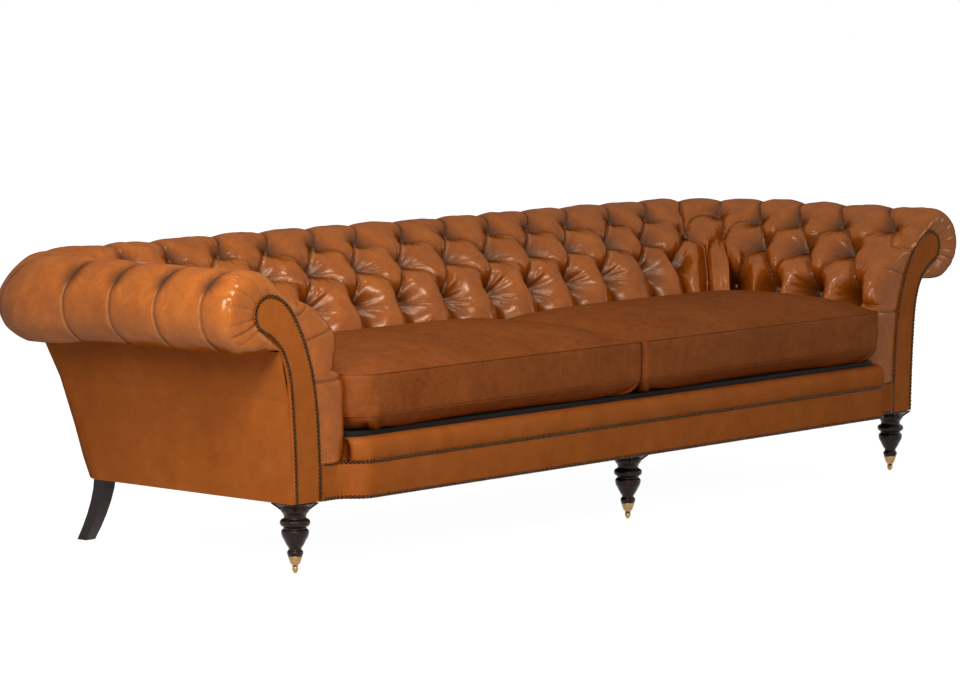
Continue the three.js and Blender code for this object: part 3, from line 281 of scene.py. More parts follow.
TUFTED = tufted_leather()
SMOOTH = smooth_leather()
CUSHION = cushion_leather()
WOOD = dark_wood()
CASTOR_BRASS = metal("castor_brass", (0.2, 0.11, 0.045), (0.5, 0.31, 0.14), 0.24, 60)
NAIL_BRASS = metal("antique_nail_brass", (0.012, 0.005, 0.002), (0.1, 0.048, 0.019), 0.26, 160)
STEEL = metal("spring_steel", (0.2, 0.2, 0.21), (0.42, 0.42, 0.44), 0.35, 40)
TIMBER = plain_timber()
# The deck cloth's near-black colour is painted shade for the gap under the cushions.
DECK_CLOTH = woven("deck_cloth", (0.007, 0.003, 0.0015), (0.02, 0.01, 0.005), 220)
DUST_CLOTH = woven("black_dust_cloth", (0.008, 0.008, 0.008), (0.02, 0.02, 0.02), 320)


def smooth(t):
    t = np.clip(t, 0, 1)
    return t * t * (3 - 2 * t)


def lerp(a, b, t):
    return a + (b - a) * t


def hump(v, start, full, fade, end):
    """Rises smoothly from 0 at start to 1 at full, and falls again from fade to end."""
    return smooth((v - start) / (full - start)) * (1 - smooth((v - fade) / (end - fade)))


TABLE = 64


def drift(u, v, size, seed):
    """Smooth unevenness between -1 and 1 over two coordinates, in lumps of about the given size."""
    table = np.random.default_rng(seed).uniform(-1, 1, (TABLE, TABLE))
    a, b = np.broadcast_arrays(u / size, v / size)
    i, j = np.floor(a).astype(int), np.floor(b).astype(int)
    s, t = smooth(a - i), smooth(b - j)
    left, right, low, high = i % TABLE, (i + 1) % TABLE, j % TABLE, (j + 1) % TABLE
    near, far = (lerp(table[left, row], table[right, row], s) for row in (low, high))
    return lerp(near, far, t)


def through(knots, values, at):
    """A smooth curve through values at knots."""
    knots, values, at = (np.asarray(a, float) for a in (knots, values, at))
    slope = np.gradient(values, knots, axis=0)
    i = np.clip(np.searchsorted(knots, at, side="right") - 1, 0, len(knots) - 2)
    width = knots[i + 1] - knots[i]
    t = (at - knots[i]) / width
    if values.ndim > 1:
        t, width = t[..., None], width[..., None]
    low = (2 * t**3 - 3 * t**2 + 1) * values[i] + (t**3 - 2 * t**2 + t) * width * slope[i]
    return low + (3 * t**2 - 2 * t**3) * values[i + 1] + (t**3 - t**2) * width * slope[i + 1]


def surface_normals(grid):
    across = np.gradient(grid, axis=0)
    along = np.gradient(grid, axis=1)
    normal = np.cross(across, along)
    return normal / np.maximum(np.linalg.norm(normal, axis=-1, keepdims=True), 1e-9)


def as_mesh(name, points, faces, body, material, slot, replaced=(), marks=None, normals=None):
    """A shown piece from points in millimetres, with any marks its finish reads at each point."""
    places = (np.asarray(points, float) - (0, MIDDLE_Y, 0)) / 1000
    mesh = bpy.data.meshes.new(name)
    mesh.from_pydata(places.tolist(), [], [tuple(map(int, face)) for face in faces])
    mesh.validate()
    mesh.polygons.foreach_set("use_smooth", [True] * len(mesh.polygons))
    for mark, values in (marks or {}).items():
        mesh.attributes.new(mark, "FLOAT", "POINT").data.foreach_set("value", values.astype(np.float32))
    if normals is not None:
        mesh.normals_split_custom_set_from_vertices(normals.tolist())
    piece = bpy.data.objects.new(name, mesh)
    bpy.context.scene.collection.objects.link(piece)
    mesh.materials.append(material)
    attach(piece, body)
    if replaced:
        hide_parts(*replaced)
    return piece


def grid_faces(rows, columns, closed_rows=False):
    faces = []
    for i in range(rows if closed_rows else rows - 1):
        below, above = i * columns, (i + 1) % rows * columns
        faces += [(below + j, below + j + 1, above + j + 1, above + j) for j in range(columns - 1)]
    return faces


def plan_points(distance, inset, height):
    """Points at a distance along the roll's middle line, from the back's middle, and inset inside it."""
    distance, inset, height = np.broadcast_arrays(distance, inset, height)
    along = np.abs(distance)
    side = np.where(distance < 0, -1.0, 1.0)
    radius = np.maximum(CORNER_RADIUS - inset, INNER_CORNER_RADIUS)
    centre_x = ARM_ROLL_X - inset - radius
    centre_y = BACK_ROLL_Y - inset - radius
    angle = np.clip((CORNER_END - along) / CORNER_RADIUS, 0, math.pi / 2)
    x = centre_x + radius * np.cos(angle)
    y = centre_y + radius * np.sin(angle)
    on_back = smooth((along - CORNER_START + CORNER_EASE) / CORNER_EASE)
    x = np.where(along < CORNER_START, along - (CORNER_START - centre_x) * on_back, x)
    on_arm = 1 - smooth((along - CORNER_END) / CORNER_EASE)
    arm_y = ARM_STRAIGHT - (along - CORNER_END) + (centre_y - ARM_STRAIGHT) * on_arm
    y = np.where(along > CORNER_END, arm_y, y)
    return np.stack([side * x, y, height], axis=-1)


# Section of the padding: distance along it, the face of the puffs, and the line of the buttons
SECTION = [
    (0, (293, 285), (196, 285)), (115, (293, 400), (200, 395)), (175, (290, 460), (192, 450)),
    (233, (272, 515), (184, 495)), (290, (242, 563), (170, 530)), (349, (200, 605), (146, 569)),
    (402, (158, 637), (112, 603)), (452, (116, 664), (88, 637)), (494, (80, 686), (58, 664)),
    (533, (46.7, 706.9), (38.4, 691)), (574, (6.8, 715.8), (5.8, 703.6)),
    (611, (-30, 711.3), (-25.8, 699.6)), (648, (-62.4, 693.3), (-56.6, 686.4)),
    (694, (-89.3, 656.9), (-81, 653.4)), (741, (-96.6, 610.5), (-87.7, 611.3)),
    (792, (-79.5, 563.4), (-72.1, 568.5)), (843, (-41, 531.1), (-37.2, 539.2)),
    (977, (93, 529), (93, 538)),
]
KNOTS, PUFFS, BUTTON_LINE = zip(*SECTION)
# The padding's inner side, from under the roll round to the seat
CORE = [
    (75, 544.7), (-10, 555.9), (-61.9, 575), (-65.9, 622), (-30, 656), (96.5, 626), (157, 530), (184, 450),
]
# Where the padding's front ends under the facing, opposite each knot of the section
NAIL_EDGE = [
    (1137, 252), (1146, 385), (1156, 455), (1167, 495), (1182, 537), (1200, 573), (1220, 604), (1240, 629),
    (1262, 645), (1285, 653), (1305, 654), (1322, 650), (1334, 641), (1343, 629), (1345, 612), (1338, 595),
    (1318, 577), (1257, 525),
]
# How far along the section each point of the core lies opposite
CORE_LEVELS = [930, 843, 792, 741, 611, 452, 290, 175, 0]
CORE_FOOT = 200
BACK_FOOT_HEIGHT = 285
ARM_FOOT_HEIGHT = RAIL_TOP + 0.6
FOOT_END = 115
PINCH_LEVEL = 648
CREST_END = 900
# How far the plain front of an arm's padding stands in over the seat
FRONT_SWELL = 30
GRID = 5.0
FINE_GRID = 3.6
RUNS = [(-PATH_END, -CORNER_MIDDLE), (-CORNER_MIDDLE, CORNER_MIDDLE), (CORNER_MIDDLE, PATH_END)]
COLUMNS = np.unique(np.concatenate([np.linspace(a, b, round((b - a) / GRID) + 1) for a, b in RUNS]))
LEVELS = np.concatenate([
    np.arange(0, 490, GRID), np.arange(490, 850, FINE_GRID), np.arange(850, 975, GRID), [KNOTS[-1]],
])


# Level of each row of buttons on the back and on the arms; the third rises towards the back's ends
ROW_LEVELS = {1: (494, 475), 2: (402, 370), 3: (262, 211)}
THIRD_ROW_RISE = 38
THIRD_ROW_REACH = 1000
ARM_LEVEL_START = 1510


def row_level(row, distance):
    """Where a row of buttons lies along the section; it is lower on the arms."""
    back, arm = ROW_LEVELS[row]
    if row == 3:
        back += THIRD_ROW_RISE * min(abs(distance) / THIRD_ROW_REACH, 1)**2
    on_arm = smooth((abs(distance) - CORNER_MIDDLE) / (ARM_LEVEL_START - CORNER_MIDDLE))
    return back + (arm - back) * float(on_arm)


# Places of the buttons and of the seams over the crest, a little uneven
BACK_ROWS = {
    1: [-1010, -860, -690, -520, -346, -190, -8, 164, 338, 498, 660, 854, 1010],
    2: [-935, -775, -605, -428, -254, -82, 92, 256, 428, 592, 764, 920],
    3: [-1000, -860, -690, -515, -338, -174, -2, 174, 340, 498, 658, 830, 978],
}
BACK_CREST = [-1020, -860, -646, -476, -306, -144, 28, 204, 376, 548, 716, 886, 1064]
CORNER_HIGH = 1330
CORNER_HOLE = 1114
CORNER_SIDE = 1374
CORNER_CHANNEL = 1134
CORNER_ROWS = {1: [CORNER_HIGH], 2: [CORNER_HOLE, CORNER_SIDE], 3: [CORNER_CHANNEL]}
CORNER_CREST = [(1214, 2, CORNER_HOLE), (1340, 1, CORNER_HIGH)]
ARM_ROWS = {
    1: {1: [1510, 1650, 1798, 1974], 2: [1576, 1726, 1884], 3: [1522, 1672, 1820, 1970]},
    -1: {1: [1550, 1700, 1850, 2000], 2: [1625, 1775, 1925], 3: [1550, 1700, 1850, 2000]},
}
ARM_CREST = {1: [1464, 1606, 1752, 1914], -1: [1550, 1700, 1850, 2000]}


def whole_row(row):
    places = list(BACK_ROWS[row])
    for side in (-1, 1):
        places += [side * s for s in CORNER_ROWS[row] + ARM_ROWS[side][row]]
    return places


ROW_ONE, ROW_TWO, ROW_THREE = (whole_row(row) for row in (1, 2, 3))
# Seams over the crest: their place there, and the row and place of the button that they start from
CRESTS = [(c, 1, b) for c, b in zip(BACK_CREST, BACK_ROWS[1])]
PINCHES = []
for side in (-1, 1):
    CRESTS += [(side * c, row, side * b) for c, row, b in CORNER_CREST]
    CRESTS += [(side * c, 1, side * b) for c, b in zip(ARM_CREST[side], ARM_ROWS[side][1])]
    PINCHES += [(side * c, PINCH_LEVEL) for c in ARM_CREST[side]]
BUTTONS = [(s, row_level(1, s)) for s in ROW_ONE]
BUTTONS += [(s, row_level(2, s)) for s in ROW_TWO]
BUTTONS += [(s, row_level(3, s)) for s in ROW_THREE if abs(s) != CORNER_CHANNEL]
NEIGHBOUR_REACH = (5, 155)
CREST_LEVEL = 590
CREST_TURN = 665
SEAT_TUCK = -20
# Kinds of crease: how deep the leather round it and its own line are drawn in, and how far that reaches
DIAGONAL = (0.22, 0.34, 70)
CHANNEL = (0.64, 0.3, 88)
CREST_RISE = (0.3, 0.5, 46)
CREST_TOP = (0.5, 0.4, 60)
OUTER_SEAM = (0.16, 0.34, 40)
CORNER_FOLD = (0.3, 0.34, 60)
FRONT_PLEAT = (0.1, 0.16, 46)
# Pleats from the foremost buttons to the front: level at the button, bend beyond it, level at the front
FRONT_PLEATS = [(475, (50, 450), 395), (475, (60, 400), 300), (211, (50, 188), 166)]


def neighbours(places, place):
    return [p for p in places if NEIGHBOUR_REACH[0] < abs(p - place) < NEIGHBOUR_REACH[1]]


def all_creases():
    """The creases: start, bend and end in distance and level, then their kind and their fold's lip."""
    shift = np.random.default_rng(11)
    creases = []

    def add(start, bend, end, kind, lip=0.0):
        creases.append((np.array(start), np.array(bend), np.array(end), *kind, lip))

    for s in ROW_TWO:
        low = row_level(2, s)
        for row, places, up in ((1, ROW_ONE, True), (3, ROW_THREE, False)):
            for other in neighbours(places, s):
                high = row_level(row, other)
                a, b = ((other, high), (s, low)) if up else ((s, low), (other, high))
                bend = (lerp(a[0], b[0], 0.66 + shift.uniform(-0.06, 0.06)),
                        lerp(a[1], b[1], 0.22 + shift.uniform(-0.06, 0.06)))
                lip = math.copysign(shift.uniform(0.5, 1) if up else shift.uniform(0.3, 0.9), b[0] - a[0])
                add(a, bend, b, (DIAGONAL[0] * shift.uniform(0.85, 1.15), *DIAGONAL[1:]), lip)
    for s in ROW_THREE:
        top = (s, row_level(3, s))
        foot = (s + shift.uniform(-6, 6), SEAT_TUCK)
        add(top, (s + shift.uniform(-5, 5), lerp(top[1], 0, 0.5)), foot, CHANNEL)
    for s, row, foot in CRESTS:
        start = (foot, row_level(row, foot))
        crest = (s + shift.uniform(-3, 3), CREST_LEVEL)
        add(start, (lerp(foot, s, 0.7), lerp(start[1], CREST_LEVEL, 0.5)), crest, CREST_RISE)
        add(crest, (s + shift.uniform(-4, 4), 625), (s, CREST_TURN), CREST_TOP)
        outward = math.copysign(1, s)
        end = (s - 5 * outward, CREST_END)
        add((s, CREST_TURN), (s + 7 * outward, 780), end, OUTER_SEAM, -0.8 * outward)
    for side in (-1, 1):
        high, hole, beside, channel = (
            (side * s, row_level(row, s)) for row, s in
            ((1, CORNER_HIGH), (2, CORNER_HOLE), (2, CORNER_SIDE), (3, CORNER_CHANNEL)))
        add(high, (side * 1190, 490), hole, CORNER_FOLD, side * 0.8)
        add(beside, (side * 1210, 345), channel, CORNER_FOLD)
        front = max(ROW_ONE) if side > 0 else min(ROW_ONE)
        edge = side * (PATH_END + 40)
        for start, bend, end in FRONT_PLEATS:
            add((front, start), (front + side * bend[0], bend[1]), (edge, end), FRONT_PLEAT, side * 0.5)
    return creases


CREASES = all_creases()


CREASE_STEPS = 17
CREASE_WIDTH = 6
LINE_WIDTH = 3.4
FUNNEL_REACH = 82
PINCH_DEPTH = 0.72


def columns_between(distance, low, high):
    """The run of columns between two distances, as a slice, or None."""
    chosen = np.flatnonzero((distance > low) & (distance < high))
    return slice(chosen[0], chosen[-1] + 1) if len(chosen) else None


def pull_field(distance, level):
    """How far the leather is drawn in, 0 on a puff and 1 at a button, its folds' lips, and a thin line of
    painted shade along each crease.
    """
    s, v = distance[None, :], level[:, None]
    open_share = np.ones((len(level), len(distance)))
    fold, crease_shade_line = np.zeros_like(open_share), np.zeros_like(open_share)
    steps = np.linspace(0, 1, CREASE_STEPS)
    for start, bend, end, broad, sharp, reach, lip in CREASES:
        line = [(1 - t)**2 * start + 2 * t * (1 - t) * bend + t * t * end for t in steps]
        columns = columns_between(distance, min(p[0] for p in line) - reach, max(p[0] for p in line) + reach)
        if columns is None:
            continue
        nearest = np.full(open_share[:, columns].shape, 1e9)
        along, aside = np.zeros_like(nearest), np.zeros_like(nearest)
        for t0, p, q in zip(steps, line, line[1:]):
            run = q - p
            du, dv = s[:, columns] - p[0], v - p[1]
            t = np.clip((du * run[0] + dv * run[1]) / (run @ run), 0, 1)
            away = np.hypot(du - t * run[0], dv - t * run[1])
            closer = away < nearest
            nearest = np.where(closer, away, nearest)
            along = np.where(closer, t0 + t / (len(steps) - 1), along)
            aside = np.where(closer, run[1] * du - run[0] * dv, aside)
        dome = (1 - np.minimum(nearest / reach, 1))**2
        open_share[:, columns] *= 1 - broad * dome - sharp * np.exp(-nearest / CREASE_WIDTH)
        # A thin line of painted shade along each crease.
        line_shade = np.exp(-(nearest / LINE_WIDTH)**2) * min(1, sharp * 2.6)
        crease_shade_line[:, columns] = np.maximum(crease_shade_line[:, columns], line_shade)
        # The lip band raises the leather and marks where the finish paints a highlight, partly wear, on the
        # fold's lip.
        if lip:
            band = np.exp(-((nearest - CREASE_WIDTH) / 2.4)**2) * (aside * lip > 0)
            fold[:, columns] += abs(lip) * band * smooth(along * 9 - 0.2) * (1 - smooth((along - 0.6) / 0.4))
    for places, depth in ((BUTTONS, 1.0), (PINCHES, PINCH_DEPTH)):
        for s0, v0 in places:
            columns = columns_between(distance, s0 - FUNNEL_REACH, s0 + FUNNEL_REACH)
            if columns is not None:
                away = np.hypot(s[:, columns] - s0, v - v0)
                open_share[:, columns] *= 1 - depth * (1 - np.minimum(away / FUNNEL_REACH, 1))**2
    return 1 - open_share, np.minimum(fold, 1), crease_shade_line


RIB_REACH = 120
RIBS = 14
RIB_HEIGHT = 2.0


def fan_wrinkles(distance, level):
    """Fine ribs that run out from the buttons over the puffs, longest upwards from the lowest row."""
    s, v = distance[None, :], level[:, None]
    relief = np.zeros((len(level), len(distance)))
    for number, (s0, v0) in enumerate(BUTTONS + PINCHES):
        columns = columns_between(distance, s0 - RIB_REACH, s0 + RIB_REACH)
        if columns is None:
            continue
        du, dv = s[:, columns] - s0, v - v0
        away = np.hypot(du, dv)
        turn = np.arctan2(dv, du)
        wander = drift(turn * 60, away, 40, 200 + number) * 1.2
        ribs = np.sin(RIBS * turn + wander + number)
        ribs = np.sign(ribs) * np.abs(ribs)**0.7
        strength = np.clip(drift(turn * 60, away * 0.3, 22, 400 + number) * 1.4 + 0.45, 0, 1)
        upward = smooth(np.sin(turn) * 1.5 - 0.4) * (v0 < 300)
        band = hump(away, 14, 28, 38 + 30 * upward, 82 + 30 * upward)
        relief[:, columns] += ribs * strength * band * (RIB_HEIGHT + 1.2 * upward)
    return relief


def kept_width(distance, inset):
    """How deep tufting can be at a distance along the roll, where the corner squeezes the leather."""
    step = 2.0
    ahead, behind = plan_points(distance + step, inset, 0), plan_points(distance - step, inset, 0)
    kept = np.linalg.norm(ahead - behind, axis=-1) / (2 * step)
    return lerp(0.34, 1, smooth(kept / 0.85))


def foot_height(distance):
    return np.where(np.abs(distance) > CORNER_MIDDLE + 1, ARM_FOOT_HEIGHT, BACK_FOOT_HEIGHT)


# The outer side sags between its seams round the corners: where along the roll, how far out and down
SAG_PLACE = 1320
SAG_LENGTH = 190
SAG_OUT = 24
SAG_DOWN = 20


def tufted_face():
    """The leather's face over the whole run, with its marks and its outward normals."""
    s, v = COLUMNS[None, :], LEVELS[:, None]
    full, drawn = (through(KNOTS, line, LEVELS)[:, None, :] for line in (PUFFS, BUTTON_LINE))
    slack = kept_width(s, full[..., 0])
    pull, fold, crease_shade_line = pull_field(COLUMNS, LEVELS)
    pull = pull * slack
    section = lerp(full, drawn, pull[..., None])
    section[..., 1] += (foot_height(s) - BACK_FOOT_HEIGHT) * np.clip(1 - v / FOOT_END, 0, 1)
    front = smooth((np.abs(s) - PATH_END + 105) / 75)
    section[..., 0] += FRONT_SWELL * front * hump(v, -60, 30, 330, 520)
    grid = plan_points(s, section[..., 0], section[..., 1])
    normals = surface_normals(grid)
    if normals[len(LEVELS) // 2, :, 2].mean() < 0:
        normals = -normals
    swell = drift(s, v, 58, 3) * 3.2 + drift(s, v, 21, 4) * 1.3
    swell = swell * (1 - pull) * smooth((v - 60) / 90) * (1 - 0.5 * smooth((v - 560) / 60))
    relief = fan_wrinkles(COLUMNS, LEVELS) * (1 - smooth((v - 670) / 60)) + fold * 1.6
    grid = grid + normals * ((relief + swell) * slack)[..., None]
    outward = plan_points(s, -1, 0) - plan_points(s, 0, 0)
    sag = np.exp(-((np.abs(s) - SAG_PLACE) / SAG_LENGTH)**2) * hump(v, 620, 720, 850, 940)
    grid = grid + sag[..., None] * (outward * SAG_OUT - (0, 0, SAG_DOWN))
    shaped = surface_normals(grid)
    normals = shaped * np.sign((shaped * normals).sum(axis=-1, keepdims=True))
    # The crease mark paints shade where the leather is drawn in and along each crease's line.
    return grid, np.maximum(pull**1.3, crease_shade_line), fold, normals


# The padding's front on the arms: it turns round a cap and is gathered in under the facing's edge
CAP_START = 34
CAP_DEPTH = 5
EDGE_Y = 3
END_Y = 8.4
EDGE_COVER = 11
ROUND_STEPS = 12
FLAT_STEPS = 8
GATHER_WIDTH = 4.2
GATHER_DEPTH = 3.4
GATHERS = [166, 512, 562, 300, 604, 655, 395, 704, 757, 790, 822]


def with_front(grid, crease, core, side):
    """Rounds an arm's padding over its front, gathers it in to the facing's edge and closes its core."""
    edge = through(KNOTS, NAIL_EDGE, LEVELS) * (side, 1)
    last = grid[:, -1].copy()
    inward = edge - last[:, [0, 2]]
    width = np.linalg.norm(inward, axis=-1)
    inward = inward / width[:, None]
    rounding = np.minimum(width * 0.8, CAP_START)
    tail = smooth((LEVELS - 860) / 60)
    gather = np.zeros(len(LEVELS))
    for i, place in enumerate(GATHERS):
        deep = 0.45 + 0.4 * (i % 3 == 0)
        gather = np.maximum(gather, deep * np.exp(-((LEVELS - place) / GATHER_WIDTH)**2))
    # Marks of the cap: painted shade in each gather, and the creases' painted shade fading out round the
    # front.
    points, marks = [], []
    for i in range(1, ROUND_STEPS + 1):
        share = i / ROUND_STEPS
        angle = share * math.pi / 2
        spot = last[:, [0, 2]] + inward * (rounding * (1 - math.cos(angle)))[:, None]
        depth = gather * GATHER_DEPTH * smooth(share * 1.6 - 0.3)
        y = last[:, 1] - (last[:, 1] + CAP_DEPTH * (1 - tail)) * math.sin(angle) + depth
        points.append(np.stack([spot[:, 0], y, spot[:, 1]], axis=-1))
        marks.append(np.maximum(crease[:, -1] * (1 - share), gather * 0.7 * smooth(share * 1.6 - 0.3)))
    for i in range(1, FLAT_STEPS + 1):
        share = i / FLAT_STEPS
        spot = last[:, [0, 2]] + inward * lerp(rounding, width, share)[:, None]
        bulge = 6.4 * share * (1 - share) * (1 - tail)
        y = lerp(-CAP_DEPTH * (1 - tail), EDGE_Y, share**1.6) - bulge
        y = y + gather * GATHER_DEPTH * (1 - 0.3 * share)
        points.append(np.stack([spot[:, 0], y, spot[:, 1]], axis=-1))
        marks.append(gather * 0.8)
    behind = points[-1].copy()
    behind[:, 1] = END_Y
    grid = np.concatenate([grid, np.stack([*points, behind], axis=1)], axis=1)
    crease = np.concatenate([crease, np.stack([*marks, gather * 0], axis=1)], axis=1)

    levels = np.array(CORE_LEVELS, float)
    run = through(KNOTS, NAIL_EDGE, levels + 2) - through(KNOTS, NAIL_EDGE, levels - 2)
    under = np.stack([run[:, 1], -run[:, 0]], axis=-1) / np.linalg.norm(run, axis=-1, keepdims=True)
    goal = (through(KNOTS, NAIL_EDGE, levels) + under * EDGE_COVER) * (side, 1)
    goal = np.stack([goal[:, 0], np.full(len(goal), END_Y), goal[:, 1]], axis=-1)
    count = ROUND_STEPS + FLAT_STEPS + 1
    share = (np.arange(1, count + 1) / count)[None, :, None]
    core = np.concatenate([core, lerp(core[:, -1:], goal[:, None], share)], axis=1)
    return grid, crease, core


def end_faces(column, count):
    """Small faces that close one end of a pad between its leather and its core."""
    marks = [len(LEVELS) - 1] + [int(np.searchsorted(LEVELS, level)) for level in CORE_LEVELS]
    faces = []
    for i in range(len(CORE_LEVELS)):
        inner = [len(LEVELS) + i, len(LEVELS) + i - 1][:2 if i else 1]
        rows = list(range(marks[i], marks[i + 1] - 1, -1)) + inner
        faces.append(tuple(row * count + column for row in rows))
    return faces


def add_padding():
    """Three tufted pads: rows run over the section and columns along the roll."""
    face, pull, lips, normals = tufted_face()
    for name, side in (("back", 0), ("left_arm", -1), ("right_arm", 1)):
        if side:
            open_part = face[..., 1].min(axis=0) > CAP_START - 1
            chosen = np.flatnonzero((side * COLUMNS > CORNER_MIDDLE - 1) & open_part)[::side]
        else:
            chosen = np.flatnonzero(np.abs(COLUMNS) < CORNER_MIDDLE + 1)
        columns = COLUMNS[chosen]
        core = [plan_points(columns, inset, height) for inset, height in CORE]
        core.append(plan_points(columns, CORE_FOOT, foot_height(columns)))
        grid, crease, core = face[:, chosen], pull[:, chosen], np.array(core)
        if side:
            grid, crease, core = with_front(grid, crease, core, side)
        whole = np.concatenate([grid, core], axis=0)
        rows, count = whole.shape[:2]
        fold, shading = np.zeros((rows, count)), np.zeros((rows, count, 3))
        fold[:len(LEVELS), :len(columns)] = lips[:, chosen]
        crease = np.concatenate([crease, np.zeros((len(core), count))])
        marks = {"crease": crease.reshape(-1), "fold": fold.reshape(-1)}
        shared = np.flatnonzero(np.abs(np.abs(columns) - CORNER_MIDDLE) < 1)
        shading[:len(LEVELS), shared] = normals[:, chosen][:, shared]
        faces = grid_faces(rows, count, closed_rows=True)
        faces += [face[::-1] for face in end_faces(0, count)] + end_faces(count - 1, count)
        if side < 0:
            faces = [face[::-1] for face in faces]
        piece = as_mesh(
            f"{name}_tufting", whole.reshape(-1, 3), faces, "base", TUFTED, "leather",
            [f"{name}_tufted_pad"], marks, shading.reshape(-1, 3))


def ring_faces(rings, segments):
    """Faces of a solid made of level rings of points, from the lowest up, with flat ends."""
    faces = []
    for low in range(0, (rings - 1) * segments, segments):
        for j in range(segments):
            k = (j + 1) % segments
            faces.append((low + j, low + k, low + segments + k, low + segments + j))
    last = (rings - 1) * segments
    return faces + [tuple(range(segments))[::-1], tuple(last + j for j in range(segments))]


def turned(profile, segments):
    """A turned form round Z, from (radius, height) pairs, the lowest first."""
    turns = np.arange(segments) / segments * 2 * math.pi
    points = [(r * math.cos(a), r * math.sin(a), z) for r, z in profile for a in turns]
    return np.array(points), ring_faces(len(profile), segments)


def joined(parts):
    """Several forms in one, each given as its points and faces."""
    points, faces, count = [], [], 0
    for part_points, part_faces in parts:
        points.append(part_points)
        faces += [tuple(i + count for i in face) for face in part_faces]
        count += len(part_points)
    return np.concatenate(points), faces


def stood_on(points, place, axis):
    """Turns a form that stands on Z to stand on a place along an axis."""
    turn = Vector((0, 0, 1)).rotation_difference(Vector(axis)).to_matrix()
    return points @ np.array(turn).T + place


# Turned forms, as radius and height from the top down
BUTTON_FORM = [(0.5, 4.8), (4, 4.6), (7.5, 3.7), (10, 2), (11, 0), (10, -2), (6, -3), (0.5, -3)]
BUTTON_SINK = 3
BUTTON_SHADE = 0.6


def add_buttons():
    groups = {"back": [], "left_arm": [], "right_arm": []}
    dome = turned(BUTTON_FORM[::-1], 18)
    for s, v in BUTTONS:
        full, drawn = through(KNOTS, PUFFS, v), through(KNOTS, BUTTON_LINE, v)
        seat = lerp(full, drawn, float(kept_width(np.array(s), full[0])))
        outer, inner = plan_points(s, *full), plan_points(s, *seat)
        axis = (outer - inner) / np.linalg.norm(outer - inner)
        group = "back" if abs(s) <= CORNER_MIDDLE else "left_arm" if s < 0 else "right_arm"
        groups[group].append((stood_on(dome[0], inner - BUTTON_SINK * axis, axis), dome[1]))
    for name, parts in groups.items():
        points, faces = joined(parts)
        marks = {"crease": np.full(len(points), BUTTON_SHADE)}
        as_mesh(f"{name}_buttons", points, faces, "base", TUFTED, "leather", marks=marks)


# Nail line of the right arm's facing: inset and rise as shares
NAIL_SHARES = [
    (1, 0.005), (0.997, 0.17), (0.968, 0.42), (0.934, 0.55), (0.89, 0.66), (0.8, 0.79), (0.69, 0.9),
    (0.53, 1.01), (0.37, 1.065), (0.21, 1.08), (0.07, 1.05), (0.02, 0.99), (0.07, 0.925), (0.27, 0.87),
    (0.44, 0.79), (0.545, 0.66), (0.59, 0.48), (0.618, 0.28), (0.64, 0.005),
]


def nail_line():
    corners = [(ARM_ROLL_X - i * ARM_FOOT_INSET, RAIL_BOTTOM + r * (ROLL_HEIGHT - RAIL_BOTTOM))
               for i, r in NAIL_SHARES]
    return through(range(len(corners)), corners, np.linspace(0, len(corners) - 1, 900))


def lengths_along(points):
    return np.concatenate([[0], np.cumsum(np.linalg.norm(np.diff(points, axis=0), axis=1))])


def spaced(points, pitch):
    """Places at an even pitch along a run of points."""
    along = lengths_along(points)
    count = int(round(along[-1] / pitch))
    at = (np.arange(count) + 0.5) / count * along[-1]
    return np.stack([np.interp(at, along, points[:, k]) for k in range(points.shape[1])], axis=-1)


def seat_front_y(x):
    """The seat's front line, with the leather drawn softly round its breaks."""
    shifts = np.linspace(-BREAK_EASE, BREAK_EASE, 21)
    shares = [(BREAK_START_X - np.abs(x + shift)) / (BREAK_START_X - BREAK_END_X) for shift in shifts]
    return -FRONT_BREAK * sum(np.clip(share, 0, 1) for share in shares) / len(shifts)


# Sections of the seat's front: set-back from the front line, height, and how much the leather wanders
BORDER_SECTION = [
    (8, 166.4, 0), (0.6, 166.4, 0), (-0.4, 169, 0), (-1, 178, 0.6), (-1.6, 196, 1), (-1.8, 212, 1),
    (-1.4, 230, 1), (-0.8, 243, 0.6), (-0.2, 249, 0), (0.6, 252.4, 0), (8, 252.4, 0),
]
LIP_SECTION = [
    (41, 253.2, 0), (3, 253.2, 0), (-0.5, 256, 0), (-3.4, 264, 0.6), (-4.4, 274, 1), (-3.4, 286, 1),
    (-0.6, 296, 1), (4, 303, 1), (11, 307.4, 1), (22, 309, 1), (33, 308, 0.6), (39, 303, 0), (41, 297, 0),
]


def add_seat_front():
    """The padded lip and the border below it, drawn round the breaks in the front line."""
    for name, section, half, seed in (
            ("front_border", BORDER_SECTION, ARM_ROLL_X - ARM_FOOT_INSET - 3, 31),
            ("seat_lip", LIP_SECTION, ARM_ROLL_X - PUFF_INSET - 1, 32)):
        x = np.linspace(-half, half, 281)
        line = seat_front_y(x)
        steps = through(range(len(section)), section, np.linspace(0, len(section) - 1, 4 * len(section) - 3))
        back, height, loose = (steps[:, k][:, None] for k in range(3))
        wander = drift(x, height, 70, seed) * 1.1 + drift(x, height * 0.5, 24, seed + 5) * 0.5
        wander = wander * np.clip(loose, 0, 1)
        grid = np.stack(np.broadcast_arrays(x, line + back + wander, height - wander * 0.4), axis=-1)
        rows, count = grid.shape[:2]
        faces = [face[::-1] for face in grid_faces(rows, count, closed_rows=True)]
        first = range(0, rows * count, count)
        faces += [tuple(first), tuple(i + count - 1 for i in first)[::-1]]
        as_mesh(f"{name}_leather", grid.reshape(-1, 3), faces, "base", SMOOTH, "leather", [name])


NAIL_FORM = [(0.3, 3.3), (1.8, 3), (3.4, 2.2), (4.6, 1), (5, 0.1), (5, -0.2), (0.3, -0.3)]


